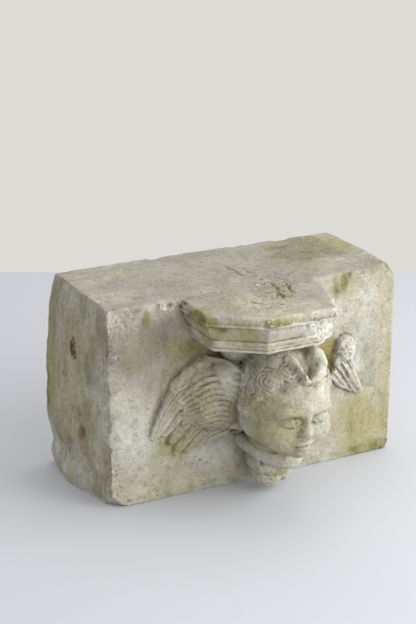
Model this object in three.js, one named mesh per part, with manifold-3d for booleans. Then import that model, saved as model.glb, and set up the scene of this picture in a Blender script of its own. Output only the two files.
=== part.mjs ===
// A carved stone corbel: a squared limestone block whose front carries a winged child's head
// under a moulded half-octagonal cap. Millimetres, +Z up, -Y towards the viewer.
// The origin is the middle of the block's underside.
import * as THREE from "three";
import { mergeVertices } from "three/addons/utils/BufferGeometryUtils.js";
import Module from "manifold-3d";

const wasm = await Module();
wasm.setup();

// Block.
const BLOCK_WIDTH = 380;
const BLOCK_DEPTH = 158;
const BLOCK_HEIGHT = 243;
const HALF_WIDTH = BLOCK_WIDTH / 2;
const FACE_Y = -BLOCK_DEPTH / 2;
const BACK_Y = BLOCK_DEPTH / 2;
// How far the rough left end swells past the squared line, at heights from the underside up.
const END_SWELL = [
  [0, 15], [12, 17], [32, 12], [46, 16], [64, 20], [92, 20],
  [110, 18], [156, 15], [180, 12], [202, 9], [226, 5], [243, 0],
];

// Cap, a half octagon in plan.
const CAP_FRONT_HALF = 42;
const CAP_HALF_WIDTH = 99.5;
const CAP_FRONT_Y = FACE_Y - 104;
const CAP_RETURN_Y = FACE_Y - 62;
// Moulding from the top down: how far each line is set in, and how far below the top it is.
const CAP_PROFILE = [
  [1.5, 0], [0, 2], [0, 8.5], [-2, 9.5], [-2, 11.5], [1, 12.5], [2.2, 17], [4.2, 22], [7, 27],
  [8.5, 30], [10, 31], [8.5, 32], [9, 40], [11, 41], [10, 42], [11, 45], [13, 46],
];
const CAP_UNDERSIDE = BLOCK_HEIGHT - 46;

// Head.
const HEAD_AT = new THREE.Vector3(-1, -143, 125);
const HEAD_BOW = THREE.MathUtils.degToRad(7);
const HEAD_REACH = 95;
const FACE_CROWDING = 1.45;

// Wings, collar and bud.
const LEFT_WING_EDGE = [
  [-8, 126], [-29, 145], [-52, 157], [-76, 159], [-99, 147], [-118, 122], [-130, 99], [-138, 79],
];
const LEFT_TIPS = [[-136, 79], [-125, 64], [-109, 52], [-90, 55], [-71, 62], [-51, 68]];
const LEFT_ROOTS = [[-92, 146], [-80, 146], [-68, 141], [-57, 132], [-47, 121], [-40, 108]];
const LEFT_ROLL = [13, 4];
const RIGHT_WING_EDGE = [[110, 158], [119, 148], [122, 135], [130, 113], [142, 90]];
const RIGHT_TIPS = [[143, 90], [137, 89], [129, 93], [120, 99]];
const RIGHT_ROOTS = [[114, 137], [108, 132], [102, 127], [97, 121]];
const RIGHT_ROLL = [9, 4];
const RIGHT_SHOULDER_AT = new THREE.Vector3(113, FACE_Y - 1, 150);
const RIGHT_SHOULDER_RADII = new THREE.Vector3(13, 14, 15);
const COLLAR_MIDDLE_X = 6;
const COLLAR_HALF_WIDTH = 28;
const COLLAR_REACH = 71;
const COLLAR_WALL_Z = 59;
const COLLAR_SAG = 8;
const COLLAR_THICK = 10.5;
const BUD_AT = new THREE.Vector3(0, -107, 37);
const BUD_RADII = new THREE.Vector3(25, 31, 19);
const BUD_END_AT = new THREE.Vector3(1, -110, 25);
const BUD_END_RADII = new THREE.Vector3(20, 23, 20);
const NECK_AT = new THREE.Vector3(4, -104, 60);
const NECK_RADII = new THREE.Vector3(30, 42, 25);

const stone = new THREE.MeshStandardMaterial({ color: 0xbeb8a2, roughness: 0.92, metalness: 0 });

const vec = (x, y, z) => new THREE.Vector3(x, y, z);
const lerp = THREE.MathUtils.lerp;
const smooth = THREE.MathUtils.smoothstep;

// Value of a broken line, given as [at, value] pairs, at one place.
function along(line, at) {
  const last = line.length - 1;
  if (at <= line[0][0]) return line[0][1];
  for (let i = 0; i < last; i++) {
    const [a, va] = line[i];
    const [b, vb] = line[i + 1];
    if (at <= b) return lerp(va, vb, (at - a) / (b - a));
  }
  return line[last][1];
}

// A closed geometry as a solid.
function solid(geometry) {
  const bare = geometry.clone();
  bare.deleteAttribute("normal");
  bare.deleteAttribute("uv");
  const merged = mergeVertices(bare, 1e-3);
  return new wasm.Manifold(
    new wasm.Mesh({
      numProp: 3,
      vertProperties: new Float32Array(merged.attributes.position.array),
      triVerts: new Uint32Array(merged.index.array),
    }),
  );
}

// A closed skin over rings of points, with flat ends, turned so that it faces out.
function skin(rings) {
  const count = rings[0].length;
  const points = rings.flat();
  const faces = [];
  const last = (rings.length - 1) * count;
  for (let r = 0; r < rings.length - 1; r++) {
    for (let i = 0; i < count; i++) {
      const a = r * count + i;
      const b = r * count + ((i + 1) % count);
      faces.push([a, b, b + count], [a, b + count, a + count]);
    }
  }
  for (let i = 1; i < count - 1; i++) {
    faces.push([0, i + 1, i], [last, last + i, last + i + 1]);
  }
  let volume = 0;
  for (const [a, b, c] of faces) {
    volume += points[a].dot(points[b].clone().cross(points[c]));
  }
  const turned = volume < 0 ? faces.map(([a, b, c]) => [a, c, b]) : faces;
  const geometry = new THREE.BufferGeometry().setFromPoints(points);
  geometry.setIndex(turned.flat());
  return geometry;
}

// A section of [side, out] points carried along a curve; "up" is the way that "out" leans.
function sweep(curve, steps, up, section, width, height) {
  const rings = [];
  for (let s = 0; s <= steps; s++) {
    const t = s / steps;
    const at = curve.getPoint(t);
    const tangent = curve.getTangent(t);
    const side = tangent.clone().cross(up).normalize();
    const out = side.clone().cross(tangent).normalize();
    const w = width(t);
    const h = height(t);
    rings.push(section.map(([a, b]) => at.clone().addScaledVector(side, a * w).addScaledVector(out, b * h)));
  }
  return skin(rings);
}

function roundSection(sides) {
  return Array.from({ length: sides }, (_, i) => {
    const turn = (i / sides) * Math.PI * 2;
    return [Math.cos(turn), Math.sin(turn)];
  });
}

// The squared block with its swollen left end and its lost corners.
function makeBlock() {
  const box = new THREE.BoxGeometry(BLOCK_WIDTH, BLOCK_DEPTH, BLOCK_HEIGHT, 1, 7, 12);
  box.translate(0, 0, BLOCK_HEIGHT / 2);
  const place = box.attributes.position;
  for (let i = 0; i < place.count; i++) {
    const y = place.getY(i);
    if (place.getX(i) > 0) continue;
    const share = smooth(y, FACE_Y, 20) * (1 - 0.12 * smooth(y, 45, BACK_Y));
    place.setX(i, -HALF_WIDTH - share * along(END_SWELL, place.getZ(i)));
  }
  let block = solid(box);
  const knocks = [
    // Top right corner at the front.
    [vec(HALF_WIDTH, FACE_Y, BLOCK_HEIGHT), vec(0.53, -0.36, 0.77), 10],
    // Bottom right corner at the front.
    [vec(HALF_WIDTH, FACE_Y, 0), vec(0.66, -0.45, -0.6), 4.5],
    // Bottom left corner at the front.
    [vec(-HALF_WIDTH, FACE_Y, 0), vec(-0.5, -0.38, -0.78), 9.5],
    // Bottom left corner at the back.
    [vec(-HALF_WIDTH - 14, BACK_Y, 0), vec(-0.6, 0.6, -0.52), 9],
  ];
  for (const [corner, outward, depth] of knocks) {
    const way = outward.normalize();
    block = block.trimByPlane(way.clone().negate().toArray(), depth - corner.dot(way));
  }
  const chips = [
    // Worn top edge left of the cap.
    [vec(-125, FACE_Y - 4, BLOCK_HEIGHT + 2), vec(26, 9, 9)],
    // Notches where the cap's right end broke away.
    [vec(121, FACE_Y - 1, BLOCK_HEIGHT - 3), vec(5, 5, 13)],
    [vec(105, FACE_Y - 1, BLOCK_HEIGHT - 22), vec(4, 4, 10)],
  ];
  for (const [at, radii] of chips) {
    block = block.subtract(blob(at, radii, 1));
  }
  return block;
}

// A round lump of given half sizes.
function blob(at, radii, detail) {
  const ball = new THREE.IcosahedronGeometry(1, detail);
  ball.scale(radii.x, radii.y, radii.z);
  ball.translate(at.x, at.y, at.z);
  return solid(ball);
}

// The cap's outline in plan, set in by a given amount and run back into the block.
function capOutline(inset, z) {
  const run = CAP_HALF_WIDTH - CAP_FRONT_HALF;
  const fall = CAP_RETURN_Y - CAP_FRONT_Y;
  const slope = Math.hypot(run, fall);
  const side = CAP_HALF_WIDTH - inset;
  const front = CAP_FRONT_Y + inset;
  // On the slanting face, x * fall - y * run is constant; setting in takes inset * slope off it.
  const line = CAP_FRONT_HALF * fall - CAP_FRONT_Y * run - inset * slope;
  const frontX = (line + front * run) / fall;
  const sideY = (side * fall - line) / run;
  const inside = FACE_Y + 6;
  return [
    vec(-side, inside, z), vec(-side, sideY, z), vec(-frontX, front, z),
    vec(frontX, front, z), vec(side, sideY, z), vec(side, inside, z),
  ];
}

// An upright prism over a plan outline.
function prism(outline, low, high) {
  const shape = new THREE.Shape(outline.map(([x, y]) => new THREE.Vector2(x, y)));
  const geometry = new THREE.ExtrudeGeometry(shape, { depth: high - low, bevelEnabled: false });
  geometry.translate(0, 0, low);
  return solid(geometry);
}

// The moulded cap, without the right end that is broken off.
function makeCap() {
  const rings = CAP_PROFILE.map(([inset, drop]) => capOutline(inset, BLOCK_HEIGHT - drop));
  const lostEnd = prism(
    [
      [37, -230], [42, -184], [46, -168], [56, -150], [60, -136], [66, -119], [69, -100], [74, -80],
      [74, -60], [140, -60], [140, -230],
    ],
    CAP_UNDERSIDE - 10, BLOCK_HEIGHT + 10,
  );
  const lostCorner = prism(
    [[9, -230], [9, -183], [20, -175], [33, -170], [44, -158], [70, -146], [70, -230]],
    CAP_UNDERSIDE - 10, BLOCK_HEIGHT - 10,
  );
  return solid(skin(rings)).subtract(lostEnd).subtract(lostCorner);
}

// Signed distance, near enough, to an ellipsoid given by centre and half sizes.
function toEllipsoid(p, [cx, cy, cz], [rx, ry, rz]) {
  const k = Math.hypot((p.x - cx) / rx, (p.y - cy) / ry, (p.z - cz) / rz);
  return (k - 1) * Math.min(rx, ry, rz);
}

// Union of two distances with a soft joint.
function blend(a, b, soft) {
  const h = Math.max(soft - Math.abs(a - b), 0) / soft;
  return Math.min(a, b) - (h * h * soft) / 4;
}

// The head in its own frame: x to its right as seen, y forward, z up.
const HEAD_MASSES = [
  [[0, -4, 14], [50, 52, 47], 6],
  [[0, 10, -13], [41, 41, 46], 14],
  [[0, 21, 22], [38, 32, 29], 14],
  [[0, 39, -42], [12, 11, 11], 10],
  [[-22, 29, -20], [20, 20, 19], 14],
  [[22, 29, -20], [20, 20, 19], 14],
  [[-17, 44.5, 12], [15, 7, 4.5], 9],
  [[17, 44.5, 12], [15, 7, 4.5], 9],
  [[0, 52, 4], [4.5, 6, 11], 5],
  [[0, 56, -11], [7, 8, 7], 5],
  [[0, 50, -28], [11, 6, 3.5], 3],
  [[0, 49, -34.5], [9, 6, 3.8], 3],
  [[-4, -8, 24], [50, 44, 54], 10],
  [[-20, -18, -22], [29, 34, 33], 12],
  [[18, -18, -22], [26, 34, 33], 12],
];
const EYE_HOLLOW = [[18, 55, 2], [11, 9, 6.5]];
const EYE_BALL = [[18, 45.5, 1], [9, 7, 5.5]];

function toHead(p) {
  let distance = Infinity;
  for (const [centre, radii, soft] of HEAD_MASSES) {
    const mass = toEllipsoid(p, centre, radii);
    distance = distance === Infinity ? mass : blend(distance, mass, soft);
  }
  const folded = vec(Math.abs(p.x), p.y, p.z);
  distance = -blend(-distance, toEllipsoid(folded, ...EYE_HOLLOW), 5);
  return blend(distance, toEllipsoid(folded, ...EYE_BALL), 2);
}

// From head frame to part frame.
function headToPart(p) {
  const turned = vec(p.x, -p.y, p.z).applyAxisAngle(vec(1, 0, 0), HEAD_BOW);
  return turned.add(HEAD_AT);
}

// How far the head's surface lies from its middle in one direction.
function headRadius(direction) {
  let inner = 0;
  let outer = HEAD_REACH;
  for (let i = 0; i < 22; i++) {
    const middle = (inner + outer) / 2;
    if (toHead(direction.clone().multiplyScalar(middle)) < 0) inner = middle;
    else outer = middle;
  }
  return inner;
}

function makeHead() {
  const ball = new THREE.SphereGeometry(1, 42, 30);
  const place = ball.attributes.position;
  for (let i = 0; i < place.count; i++) {
    // The ball's pole looks forward, and its rings crowd towards the face.
    const direction = vec(place.getX(i), place.getY(i), place.getZ(i)).normalize();
    const ring = Math.acos(THREE.MathUtils.clamp(direction.y, -1, 1)) / Math.PI;
    const off = Math.PI * ring ** FACE_CROWDING;
    const around = Math.atan2(direction.z, direction.x);
    direction.set(Math.sin(off) * Math.cos(around), Math.cos(off), -Math.sin(off) * Math.sin(around));
    const point = headToPart(direction.multiplyScalar(headRadius(direction)));
    place.setXYZ(i, point.x, point.y, point.z);
  }
  return solid(ball);
}

// A rolled curl lying on the head: a spiral that winds in towards its middle.
// It starts at an angle in the surface, from a direction out of the head's middle.
function curl(yaw, lift, radius, thick, turns, hand, start) {
  const direction = vec(Math.sin(yaw) * Math.cos(lift), Math.cos(yaw) * Math.cos(lift), Math.sin(lift));
  const across = vec(0, 0, 1).cross(direction).normalize();
  const upward = direction.clone().cross(across);
  const points = [];
  for (let i = 0; i <= 10; i++) {
    const t = i / 10;
    const turn = start + hand * turns * t * Math.PI * 2;
    const r = radius * (1 - 0.82 * t);
    const aim = direction.clone().multiplyScalar(headRadius(direction))
      .addScaledVector(across, Math.cos(turn) * r)
      .addScaledVector(upward, Math.sin(turn) * r)
      .normalize();
    const lifted = headRadius(aim) + thick * (0.05 + 0.45 * t);
    points.push(headToPart(aim.multiplyScalar(lifted)));
  }
  const outward = headToPart(direction).sub(HEAD_AT).normalize();
  const path = new THREE.CatmullRomCurve3(points);
  return solid(sweep(path, 15, outward, roundSection(5), (t) => thick * (1 - 0.3 * t), () => thick * 0.8));
}

// Curls down each side of the face, and the tuft over the forehead.
function makeHair() {
  const deg = THREE.MathUtils.degToRad;
  const curls = [
    [24, 56, 17, 5.5, 1.5],
    [56, 40, 18, 5.5, 1.6],
    [80, 16, 15, 5, 1.4],
    [86, -12, 11, 4.5, 1.2],
  ];
  const locks = [];
  for (const hand of [-1, 1]) {
    for (const [yaw, lift, radius, thick, turns] of curls) {
      locks.push(curl(hand * deg(yaw), deg(lift), radius, thick, turns, hand, deg(100)));
    }
  }
  for (const lean of [-4, 5]) {
    const points = [0, 1, 2, 3, 4].map((i) => {
      const lift = deg(66 - 10 * i);
      const aim = vec(lean * 0.01 * (1 + i), Math.cos(lift), Math.sin(lift)).normalize();
      return headToPart(aim.multiplyScalar(headRadius(aim) + 2.5 - 0.5 * i));
    });
    const path = new THREE.CatmullRomCurve3(points);
    locks.push(solid(sweep(path, 8, vec(0, -1, 0.5), roundSection(6), (t) => 6 - 3.5 * t, (t) => 6.5 - 4 * t)));
  }
  return locks;
}

// A feather on the face of the block: its upper edge stands proud and its lower edge runs down.
function feather(root, tip, bow, wide, proud) {
  const middle = [(root[0] + tip[0]) / 2, (root[1] + tip[1]) / 2];
  const away = [tip[0] - root[0], tip[1] - root[1]];
  const hand = Math.sign(away[0]);
  const control = [middle[0] - away[1] * bow * hand * -1, middle[1] + Math.abs(away[0]) * bow];
  const curve = new THREE.QuadraticBezierCurve3(
    vec(root[0], FACE_Y, root[1]), vec(control[0], FACE_Y, control[1]), vec(tip[0], FACE_Y, tip[1]),
  );
  const section = [[-1, -0.5], [-1, 1], [-0.3, 0.92], [1, 0.35], [1, -0.5]].map(([a, b]) => [a * hand, b]);
  const width = (t) => wide * (0.75 + 0.6 * t - 1.1 * t ** 4);
  const height = (t) => lerp(proud, proud * 0.45, t);
  return solid(sweep(curve, 8, vec(0, -1, 0), section, width, height));
}

// One wing: the rolled leading edge, the long feathers and the short ones over their roots.
function makeWing(edge, rollWidths, roots, tips, proud, wide, shortFeathers) {
  const path = new THREE.CatmullRomCurve3(edge.map(([x, z]) => vec(x, FACE_Y - 2, z)));
  const rollWidth = (t) => lerp(...rollWidths, t);
  const roll = sweep(path, 14, vec(0, -1, 0), roundSection(8), rollWidth, (t) => proud * (1 - 0.75 * t));
  const pieces = [solid(roll)];
  roots.forEach((root, i) => {
    const share = i / roots.length;
    pieces.push(feather(root, tips[i], 0.2, wide, lerp(proud * 0.6, proud * 0.42, share)));
    if (!shortFeathers) return;
    const start = [root[0] + 5.3, root[1] + 1.7];
    const end = [lerp(root[0], tips[i][0], 0.42), lerp(root[1], tips[i][1], 0.37)];
    pieces.push(feather(start, end, 0.24, wide * 0.83, lerp(proud * 0.8, proud * 0.62, share)));
  });
  return pieces;
}

// The roll of cloth under the chin, from wall to wall.
function makeCollar() {
  const points = [];
  for (let i = 0; i <= 12; i++) {
    const turn = (i / 12) * Math.PI;
    const across = COLLAR_MIDDLE_X + Math.cos(turn) * COLLAR_HALF_WIDTH;
    const out = FACE_Y + 4 - Math.sin(turn) * COLLAR_REACH;
    points.push(vec(across, out, COLLAR_WALL_Z - COLLAR_SAG * Math.sin(turn)));
  }
  const path = new THREE.CatmullRomCurve3(points);
  return solid(sweep(path, 18, vec(0, 0, 1), roundSection(8), () => COLLAR_THICK, () => COLLAR_THICK));
}

// The bud that ends the carving below the collar, and the neck that joins it to the head.
function makeBud() {
  const bud = blob(BUD_AT, BUD_RADII, 3).add(blob(BUD_END_AT, BUD_END_RADII, 2));
  return bud.add(blob(NECK_AT, NECK_RADII, 2));
}

function makeCorbel() {
  const pieces = [
    makeBlock(), makeCap(), makeHead(), ...makeHair(),
    ...makeWing(LEFT_WING_EDGE, LEFT_ROLL, LEFT_ROOTS, LEFT_TIPS, 19, 11, true),
    ...makeWing(RIGHT_WING_EDGE, RIGHT_ROLL, RIGHT_ROOTS, RIGHT_TIPS, 16, 6.2, false),
    blob(RIGHT_SHOULDER_AT, RIGHT_SHOULDER_RADII, 2), makeCollar(), makeBud(),
  ];
  const whole = pieces.reduce((sum, piece) => sum.add(piece));
  const above = prism([[-400, -400], [400, -400], [400, 400], [-400, 400]], 0, BLOCK_HEIGHT);
  return whole.intersect(above);
}

// The solid's triangles as a geometry.
function geometryOf(made) {
  const mesh = made.getMesh();
  const geometry = new THREE.BufferGeometry();
  geometry.setAttribute("position", new THREE.BufferAttribute(new Float32Array(mesh.vertProperties), 3));
  geometry.setIndex(new THREE.BufferAttribute(new Uint32Array(mesh.triVerts), 1));
  geometry.computeVertexNormals();
  return geometry;
}

const corbel = new THREE.Mesh(geometryOf(makeCorbel()), stone);
corbel.name = "stone_corbel";

const part = new THREE.Group();
part.add(corbel);

export default part;
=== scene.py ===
"""Dresses the stone corbel: one weathered limestone block with a winged head carved on its front.

The carving is shaped as separate closed forms in millimetres, fused into one skin of stone, worn
soft, given its tooling, breaks and pitting as real relief, and then coloured: dirt and painted
shade in the hollows and sheltered places, green growth where damp stands, pale fresh breaks, and
painted highlights on edges and crests.
"""

import logging
import math
from collections.abc import Callable, Iterator
from dataclasses import dataclass
from enum import Enum

import bmesh
import bpy
import numpy as np
from mathutils import Matrix, Vector
from mathutils.bvhtree import BVHTree
from mathutils.kdtree import KDTree


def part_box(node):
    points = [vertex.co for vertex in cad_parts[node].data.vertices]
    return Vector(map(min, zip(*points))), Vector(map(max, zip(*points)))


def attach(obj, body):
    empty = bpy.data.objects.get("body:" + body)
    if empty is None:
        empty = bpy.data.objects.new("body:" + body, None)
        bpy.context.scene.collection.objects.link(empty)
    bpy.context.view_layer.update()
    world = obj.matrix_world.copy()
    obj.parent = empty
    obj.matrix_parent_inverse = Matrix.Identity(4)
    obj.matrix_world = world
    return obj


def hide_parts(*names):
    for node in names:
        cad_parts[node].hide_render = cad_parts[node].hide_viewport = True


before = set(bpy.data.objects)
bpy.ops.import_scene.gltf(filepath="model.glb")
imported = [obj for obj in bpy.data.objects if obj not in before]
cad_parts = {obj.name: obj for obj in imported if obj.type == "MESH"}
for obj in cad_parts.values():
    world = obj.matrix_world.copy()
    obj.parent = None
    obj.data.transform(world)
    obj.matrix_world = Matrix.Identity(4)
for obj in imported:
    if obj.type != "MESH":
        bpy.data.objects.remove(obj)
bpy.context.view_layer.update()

Array = np.ndarray
Thing = bpy.types.Object
Socket = bpy.types.NodeSocket

LOG = logging.getLogger("corbel")
MM = 0.001
NODE = "stone_corbel"
SEED = 41
FAR = 1e9
WELD = 1e-6

# The block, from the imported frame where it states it, in millimetres.
BLOCK_LOW_Z = 0.0
BLOCK_TOP_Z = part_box(NODE)[1][2] / MM
BACK_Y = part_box(NODE)[1][1] / MM
FACE_Y = -BACK_Y
RIGHT_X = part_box(NODE)[1][0] / MM

# How a lattice corner is scrambled into a value.
HASH_AXES = (73856093, 19349663, 83492791)
HASH_SEED = 2654435761
HASH_MIX = 1274126177
HASH_BITS = 0xFFFF
NOISE_SPAN = 1.6


# Numbers over many points

def cell_corners(part: Array) -> Iterator[tuple]:
    """The eight corners of a lattice cell, each with its weight at every place in the cell."""
    for step in range(8):
        shift = np.array([step & 1, (step >> 1) & 1, (step >> 2) & 1])
        yield shift, np.prod(np.where(shift == 1, part, 1.0 - part), axis=1)


def lattice_noise(points: Array, cell: float, seed: int) -> Array:
    """Smooth noise between -1 and 1 from random values on a cubic lattice.

    Args:
        points: Places, in millimetres, one row each.
        cell: Lattice spacing in millimetres.
        seed: Which of the endless noise fields to use.

    Returns:
        One value for each point.
    """
    scaled = points / cell
    corner = np.floor(scaled).astype(np.int64)
    part = scaled - corner
    total = np.zeros(len(points))
    for shift, weight in cell_corners(part * part * (3.0 - 2.0 * part)):
        at = (corner + shift) * np.array(HASH_AXES)
        mixed = at[:, 0] ^ at[:, 1] ^ at[:, 2] ^ (seed * HASH_SEED)
        mixed = (mixed ^ (mixed >> 13)) * HASH_MIX
        value = ((mixed ^ (mixed >> 16)) & HASH_BITS) / (HASH_BITS / 2) - 1.0
        total += value * weight
    return total


def fractal_noise(points: Array, cell: float, octaves: int, seed: int) -> Array:
    """Layers of lattice noise, each half as large and half as strong as the one before.

    Args:
        points: Places, in millimetres, one row each.
        cell: Spacing of the coarsest layer.
        octaves: How many layers.
        seed: Which noise field to use.

    Returns:
        One value for each point, roughly between -1 and 1.
    """
    total = np.zeros(len(points))
    for level in range(octaves):
        total += lattice_noise(points, cell / 2**level, seed + level) / 2**level
    return total / NOISE_SPAN


def wander(points: Array, cell: float, seed: int) -> Array:
    """A shift along x, y and z at each place, from three noise fields."""
    return np.column_stack([lattice_noise(points, cell, seed + i) for i in range(3)])


def ramp(values: Array, low: float, high: float) -> Array:
    """A smooth step from 0 at low to 1 at high."""
    t = np.clip((values - low) / (high - low), 0.0, 1.0)
    return t * t * (3.0 - 2.0 * t)


def soft_union(a: Array, b: Array, soft: float) -> Array:
    """The lesser of two distances, with a filleted joint of the given size."""
    h = np.maximum(soft - np.abs(a - b), 0.0) / soft
    return np.minimum(a, b) - h * h * soft / 4.0


def offset(points: Array, centre: tuple, radii: tuple) -> Array:
    """How far out of an ellipsoid's middle each point lies, 1 on its surface."""
    return np.linalg.norm((points - np.array(centre)) / np.array(radii), axis=1)


def to_ellipsoid(points: Array, centre: tuple, radii: tuple) -> Array:
    """Roughly the signed distance from each point to an ellipsoid."""
    return (offset(points, centre, radii) - 1.0) * min(radii)


def to_segment(points: Array, start: tuple, end: tuple) -> tuple[Array, Array]:
    """Distance from each point to a segment, and how far along it the nearest place lies, from 0 to 1."""
    a = np.array(start, dtype=float)
    run = np.array(end, dtype=float) - a
    t = np.clip((points - a) @ run / (run @ run), 0.0, 1.0)
    return np.linalg.norm(points - a - t[:, None] * run, axis=1), t


def to_lock(points: Array, route: tuple, thick: float, thin: float) -> Array:
    """Signed distance to a tapering lock that follows a broken line."""
    nearest = np.full(len(points), FAR)
    spans = len(route) - 1
    for i in range(spans):
        distance, t = to_segment(points, route[i], route[i + 1])
        size = thick + (thin - thick) * (i + t) / spans
        nearest = soft_union(nearest, distance - size, 2.0)
    return nearest


def smooth_line(at: Array, values: Array, wanted: Array) -> Array:
    """A smooth curve through values, by Hermite pieces."""
    slope = np.gradient(values, at)
    i = np.clip(np.searchsorted(at, wanted) - 1, 0, len(at) - 2)
    gap = at[i + 1] - at[i]
    u = (wanted - at[i]) / gap
    return ((1 + 2 * u) * (1 - u) ** 2 * values[i] + u * (1 - u) ** 2 * gap * slope[i]
            + u * u * (3 - 2 * u) * values[i + 1] + u * u * (u - 1) * gap * slope[i + 1])


def face_route(route: list, count: int) -> Array:
    """Points at even steps along a smooth curve through (x, z) places on the block's face."""
    spots = np.array(route, dtype=float)
    t, fine = np.linspace(0, 1, len(spots)), np.linspace(0, 1, count)
    x, z = smooth_line(t, spots[:, 0], fine), smooth_line(t, spots[:, 1], fine)
    return np.column_stack([x, np.full(count, FACE_Y), z])


# Meshes

def add_object(name: str, data: bpy.types.ID) -> Thing:
    """A new object in the scene, with the given data."""
    obj = bpy.data.objects.new(name, data)
    bpy.context.scene.collection.objects.link(obj)
    return obj


def finished(name: str, work: bmesh.types.BMesh) -> Thing:
    """A new object from a mesh under construction, which is freed."""
    mesh = bpy.data.meshes.new(name)
    work.to_mesh(mesh)
    work.free()
    return add_object(name, mesh)


def mesh_object(name: str, points: Array, faces: list) -> Thing:
    """A new object from points in millimetres and their faces."""
    mesh = bpy.data.meshes.new(name)
    mesh.from_pydata((np.asarray(points) * MM).tolist(), [], [list(map(int, f)) for f in faces])
    return add_object(name, mesh)


def face_outwards(obj: Thing) -> None:
    """Merges doubles and turns every face of a closed shell outwards."""
    work = bmesh.new()
    work.from_mesh(obj.data)
    bmesh.ops.remove_doubles(work, verts=work.verts, dist=WELD)
    bmesh.ops.recalc_face_normals(work, faces=work.faces)
    work.to_mesh(obj.data)
    work.free()


def ring_skin(name: str, rings: list) -> Thing:
    """A closed shell over rings of equally many points, with flat ends."""
    count = len(rings[0])
    points = np.concatenate([np.asarray(r, dtype=float) for r in rings])
    faces = []
    for r in range(len(rings) - 1):
        for i in range(count):
            a, b = r * count + i, r * count + (i + 1) % count
            faces.append((a, b, b + count, a + count))
    last = (len(rings) - 1) * count
    faces.append(tuple(range(count)))
    faces.append(tuple(range(last + count - 1, last - 1, -1)))
    obj = mesh_object(name, points, faces)
    face_outwards(obj)
    return obj


def lump(name: str, centre: tuple, radii: tuple) -> Thing:
    """A closed ellipsoid."""
    work = bmesh.new()
    bmesh.ops.create_icosphere(work, subdivisions=4, radius=1.0)
    size = Matrix.Diagonal((*(r * MM for r in radii), 1.0))
    work.transform(Matrix.Translation(Vector(centre) * MM) @ size)
    return finished(name, work)


def settle(obj: Thing) -> None:
    """Replaces an object's mesh by its evaluated one and drops its modifiers."""
    graph = bpy.context.evaluated_depsgraph_get()
    graph.update()
    mesh = bpy.data.meshes.new_from_object(obj.evaluated_get(graph), depsgraph=graph)
    obj.modifiers.clear()
    obj.data = mesh


def carve_out(obj: Thing, cutter: Thing) -> None:
    """Takes the cutter's volume out of an object and removes the cutter."""
    cut = obj.modifiers.new("cut", "BOOLEAN")
    cut.operation = "DIFFERENCE"
    cut.solver = "EXACT"
    cut.object = cutter
    settle(obj)
    bpy.data.objects.remove(cutter)


def fuse(name: str, objects: list) -> Thing:
    """Joins objects into one, as overlapping shells."""
    work = bmesh.new()
    for obj in objects:
        work.from_mesh(obj.data)
        bpy.data.objects.remove(obj)
    return finished(name, work)


# A section carried along paths, as Geometry Nodes

class Section(Enum):
    """The cross-sections that the carver repeats."""

    ROUND = "round"
    FEATHER = "feather"


def section_points(kind: Section) -> list:
    """The outline of a section: first number across, second number out of the stone."""
    if kind is Section.ROUND:
        return [(math.cos(a), math.sin(a)) for a in np.linspace(0, 2 * math.pi, 17)[:-1]]
    return [(-1, -3.4), (-1, 0.5), (-0.84, 0.78), (-0.3, 0.66), (0.35, 0.36), (1, -0.08), (1, -3.4)]


def sweep_tree() -> bpy.types.GeometryNodeTree:
    """The node tree that carries a section along every path of an object.

    Returns:
        A tree with the inputs Section, Scale and Finish. Paths are loose edges with the point
        attributes "size" and "lean", the way that the section's second axis points.
    """
    name = "carved_sweep"
    if name in bpy.data.node_groups:
        return bpy.data.node_groups[name]
    tree = bpy.data.node_groups.new(name, "GeometryNodeTree")
    for label, kind in (("Paths", "Geometry"), ("Section", "Object"), ("Scale", "Float"),
                        ("Finish", "Material")):
        tree.interface.new_socket(label, in_out="INPUT", socket_type="NodeSocket" + kind)
    tree.interface.new_socket("Mesh", in_out="OUTPUT", socket_type="NodeSocketGeometry")
    kit = NodeKit(tree)
    given, result = kit.node("NodeGroupInput"), kit.node("NodeGroupOutput")
    curve = kit.node("GeometryNodeMeshToCurve")
    lean = kit.node("GeometryNodeInputNamedAttribute", data_type="FLOAT_VECTOR")
    size = kit.node("GeometryNodeInputNamedAttribute", data_type="FLOAT")
    for attribute, label in ((lean, "lean"), (size, "size")):
        attribute.inputs["Name"].default_value = label
    turn = kit.node("GeometryNodeSetCurveNormal", mode="FREE")
    scale = kit.node("ShaderNodeMath", operation="MULTIPLY")
    info = kit.node("GeometryNodeObjectInfo")
    sweep = kit.node("GeometryNodeCurveToMesh")
    sweep.inputs["Fill Caps"].default_value = True
    real = kit.node("GeometryNodeRealizeInstances")
    finish = kit.node("GeometryNodeSetMaterial")
    for source, out, target, into in (
        (given, "Paths", curve, "Mesh"), (curve, "Curve", turn, "Curve"),
        (lean, "Attribute", turn, "Normal"), (turn, "Curve", sweep, "Curve"),
        (given, "Section", info, "Object"), (info, "Geometry", sweep, "Profile Curve"),
        (size, "Attribute", scale, 0), (given, "Scale", scale, 1), (scale, 0, sweep, "Scale"),
        (sweep, "Mesh", real, "Geometry"), (real, "Geometry", finish, "Geometry"),
        (given, "Finish", finish, "Material"), (finish, "Geometry", result, "Mesh"),
    ):
        tree.links.new(source.outputs[out], target.inputs[into])
    return tree


@dataclass
class SweptPath:
    """One path for the sweep: places in millimetres, a size at each, and the way the path leans."""

    places: list
    sizes: list
    lean: tuple = (0, -1, 0)


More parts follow.
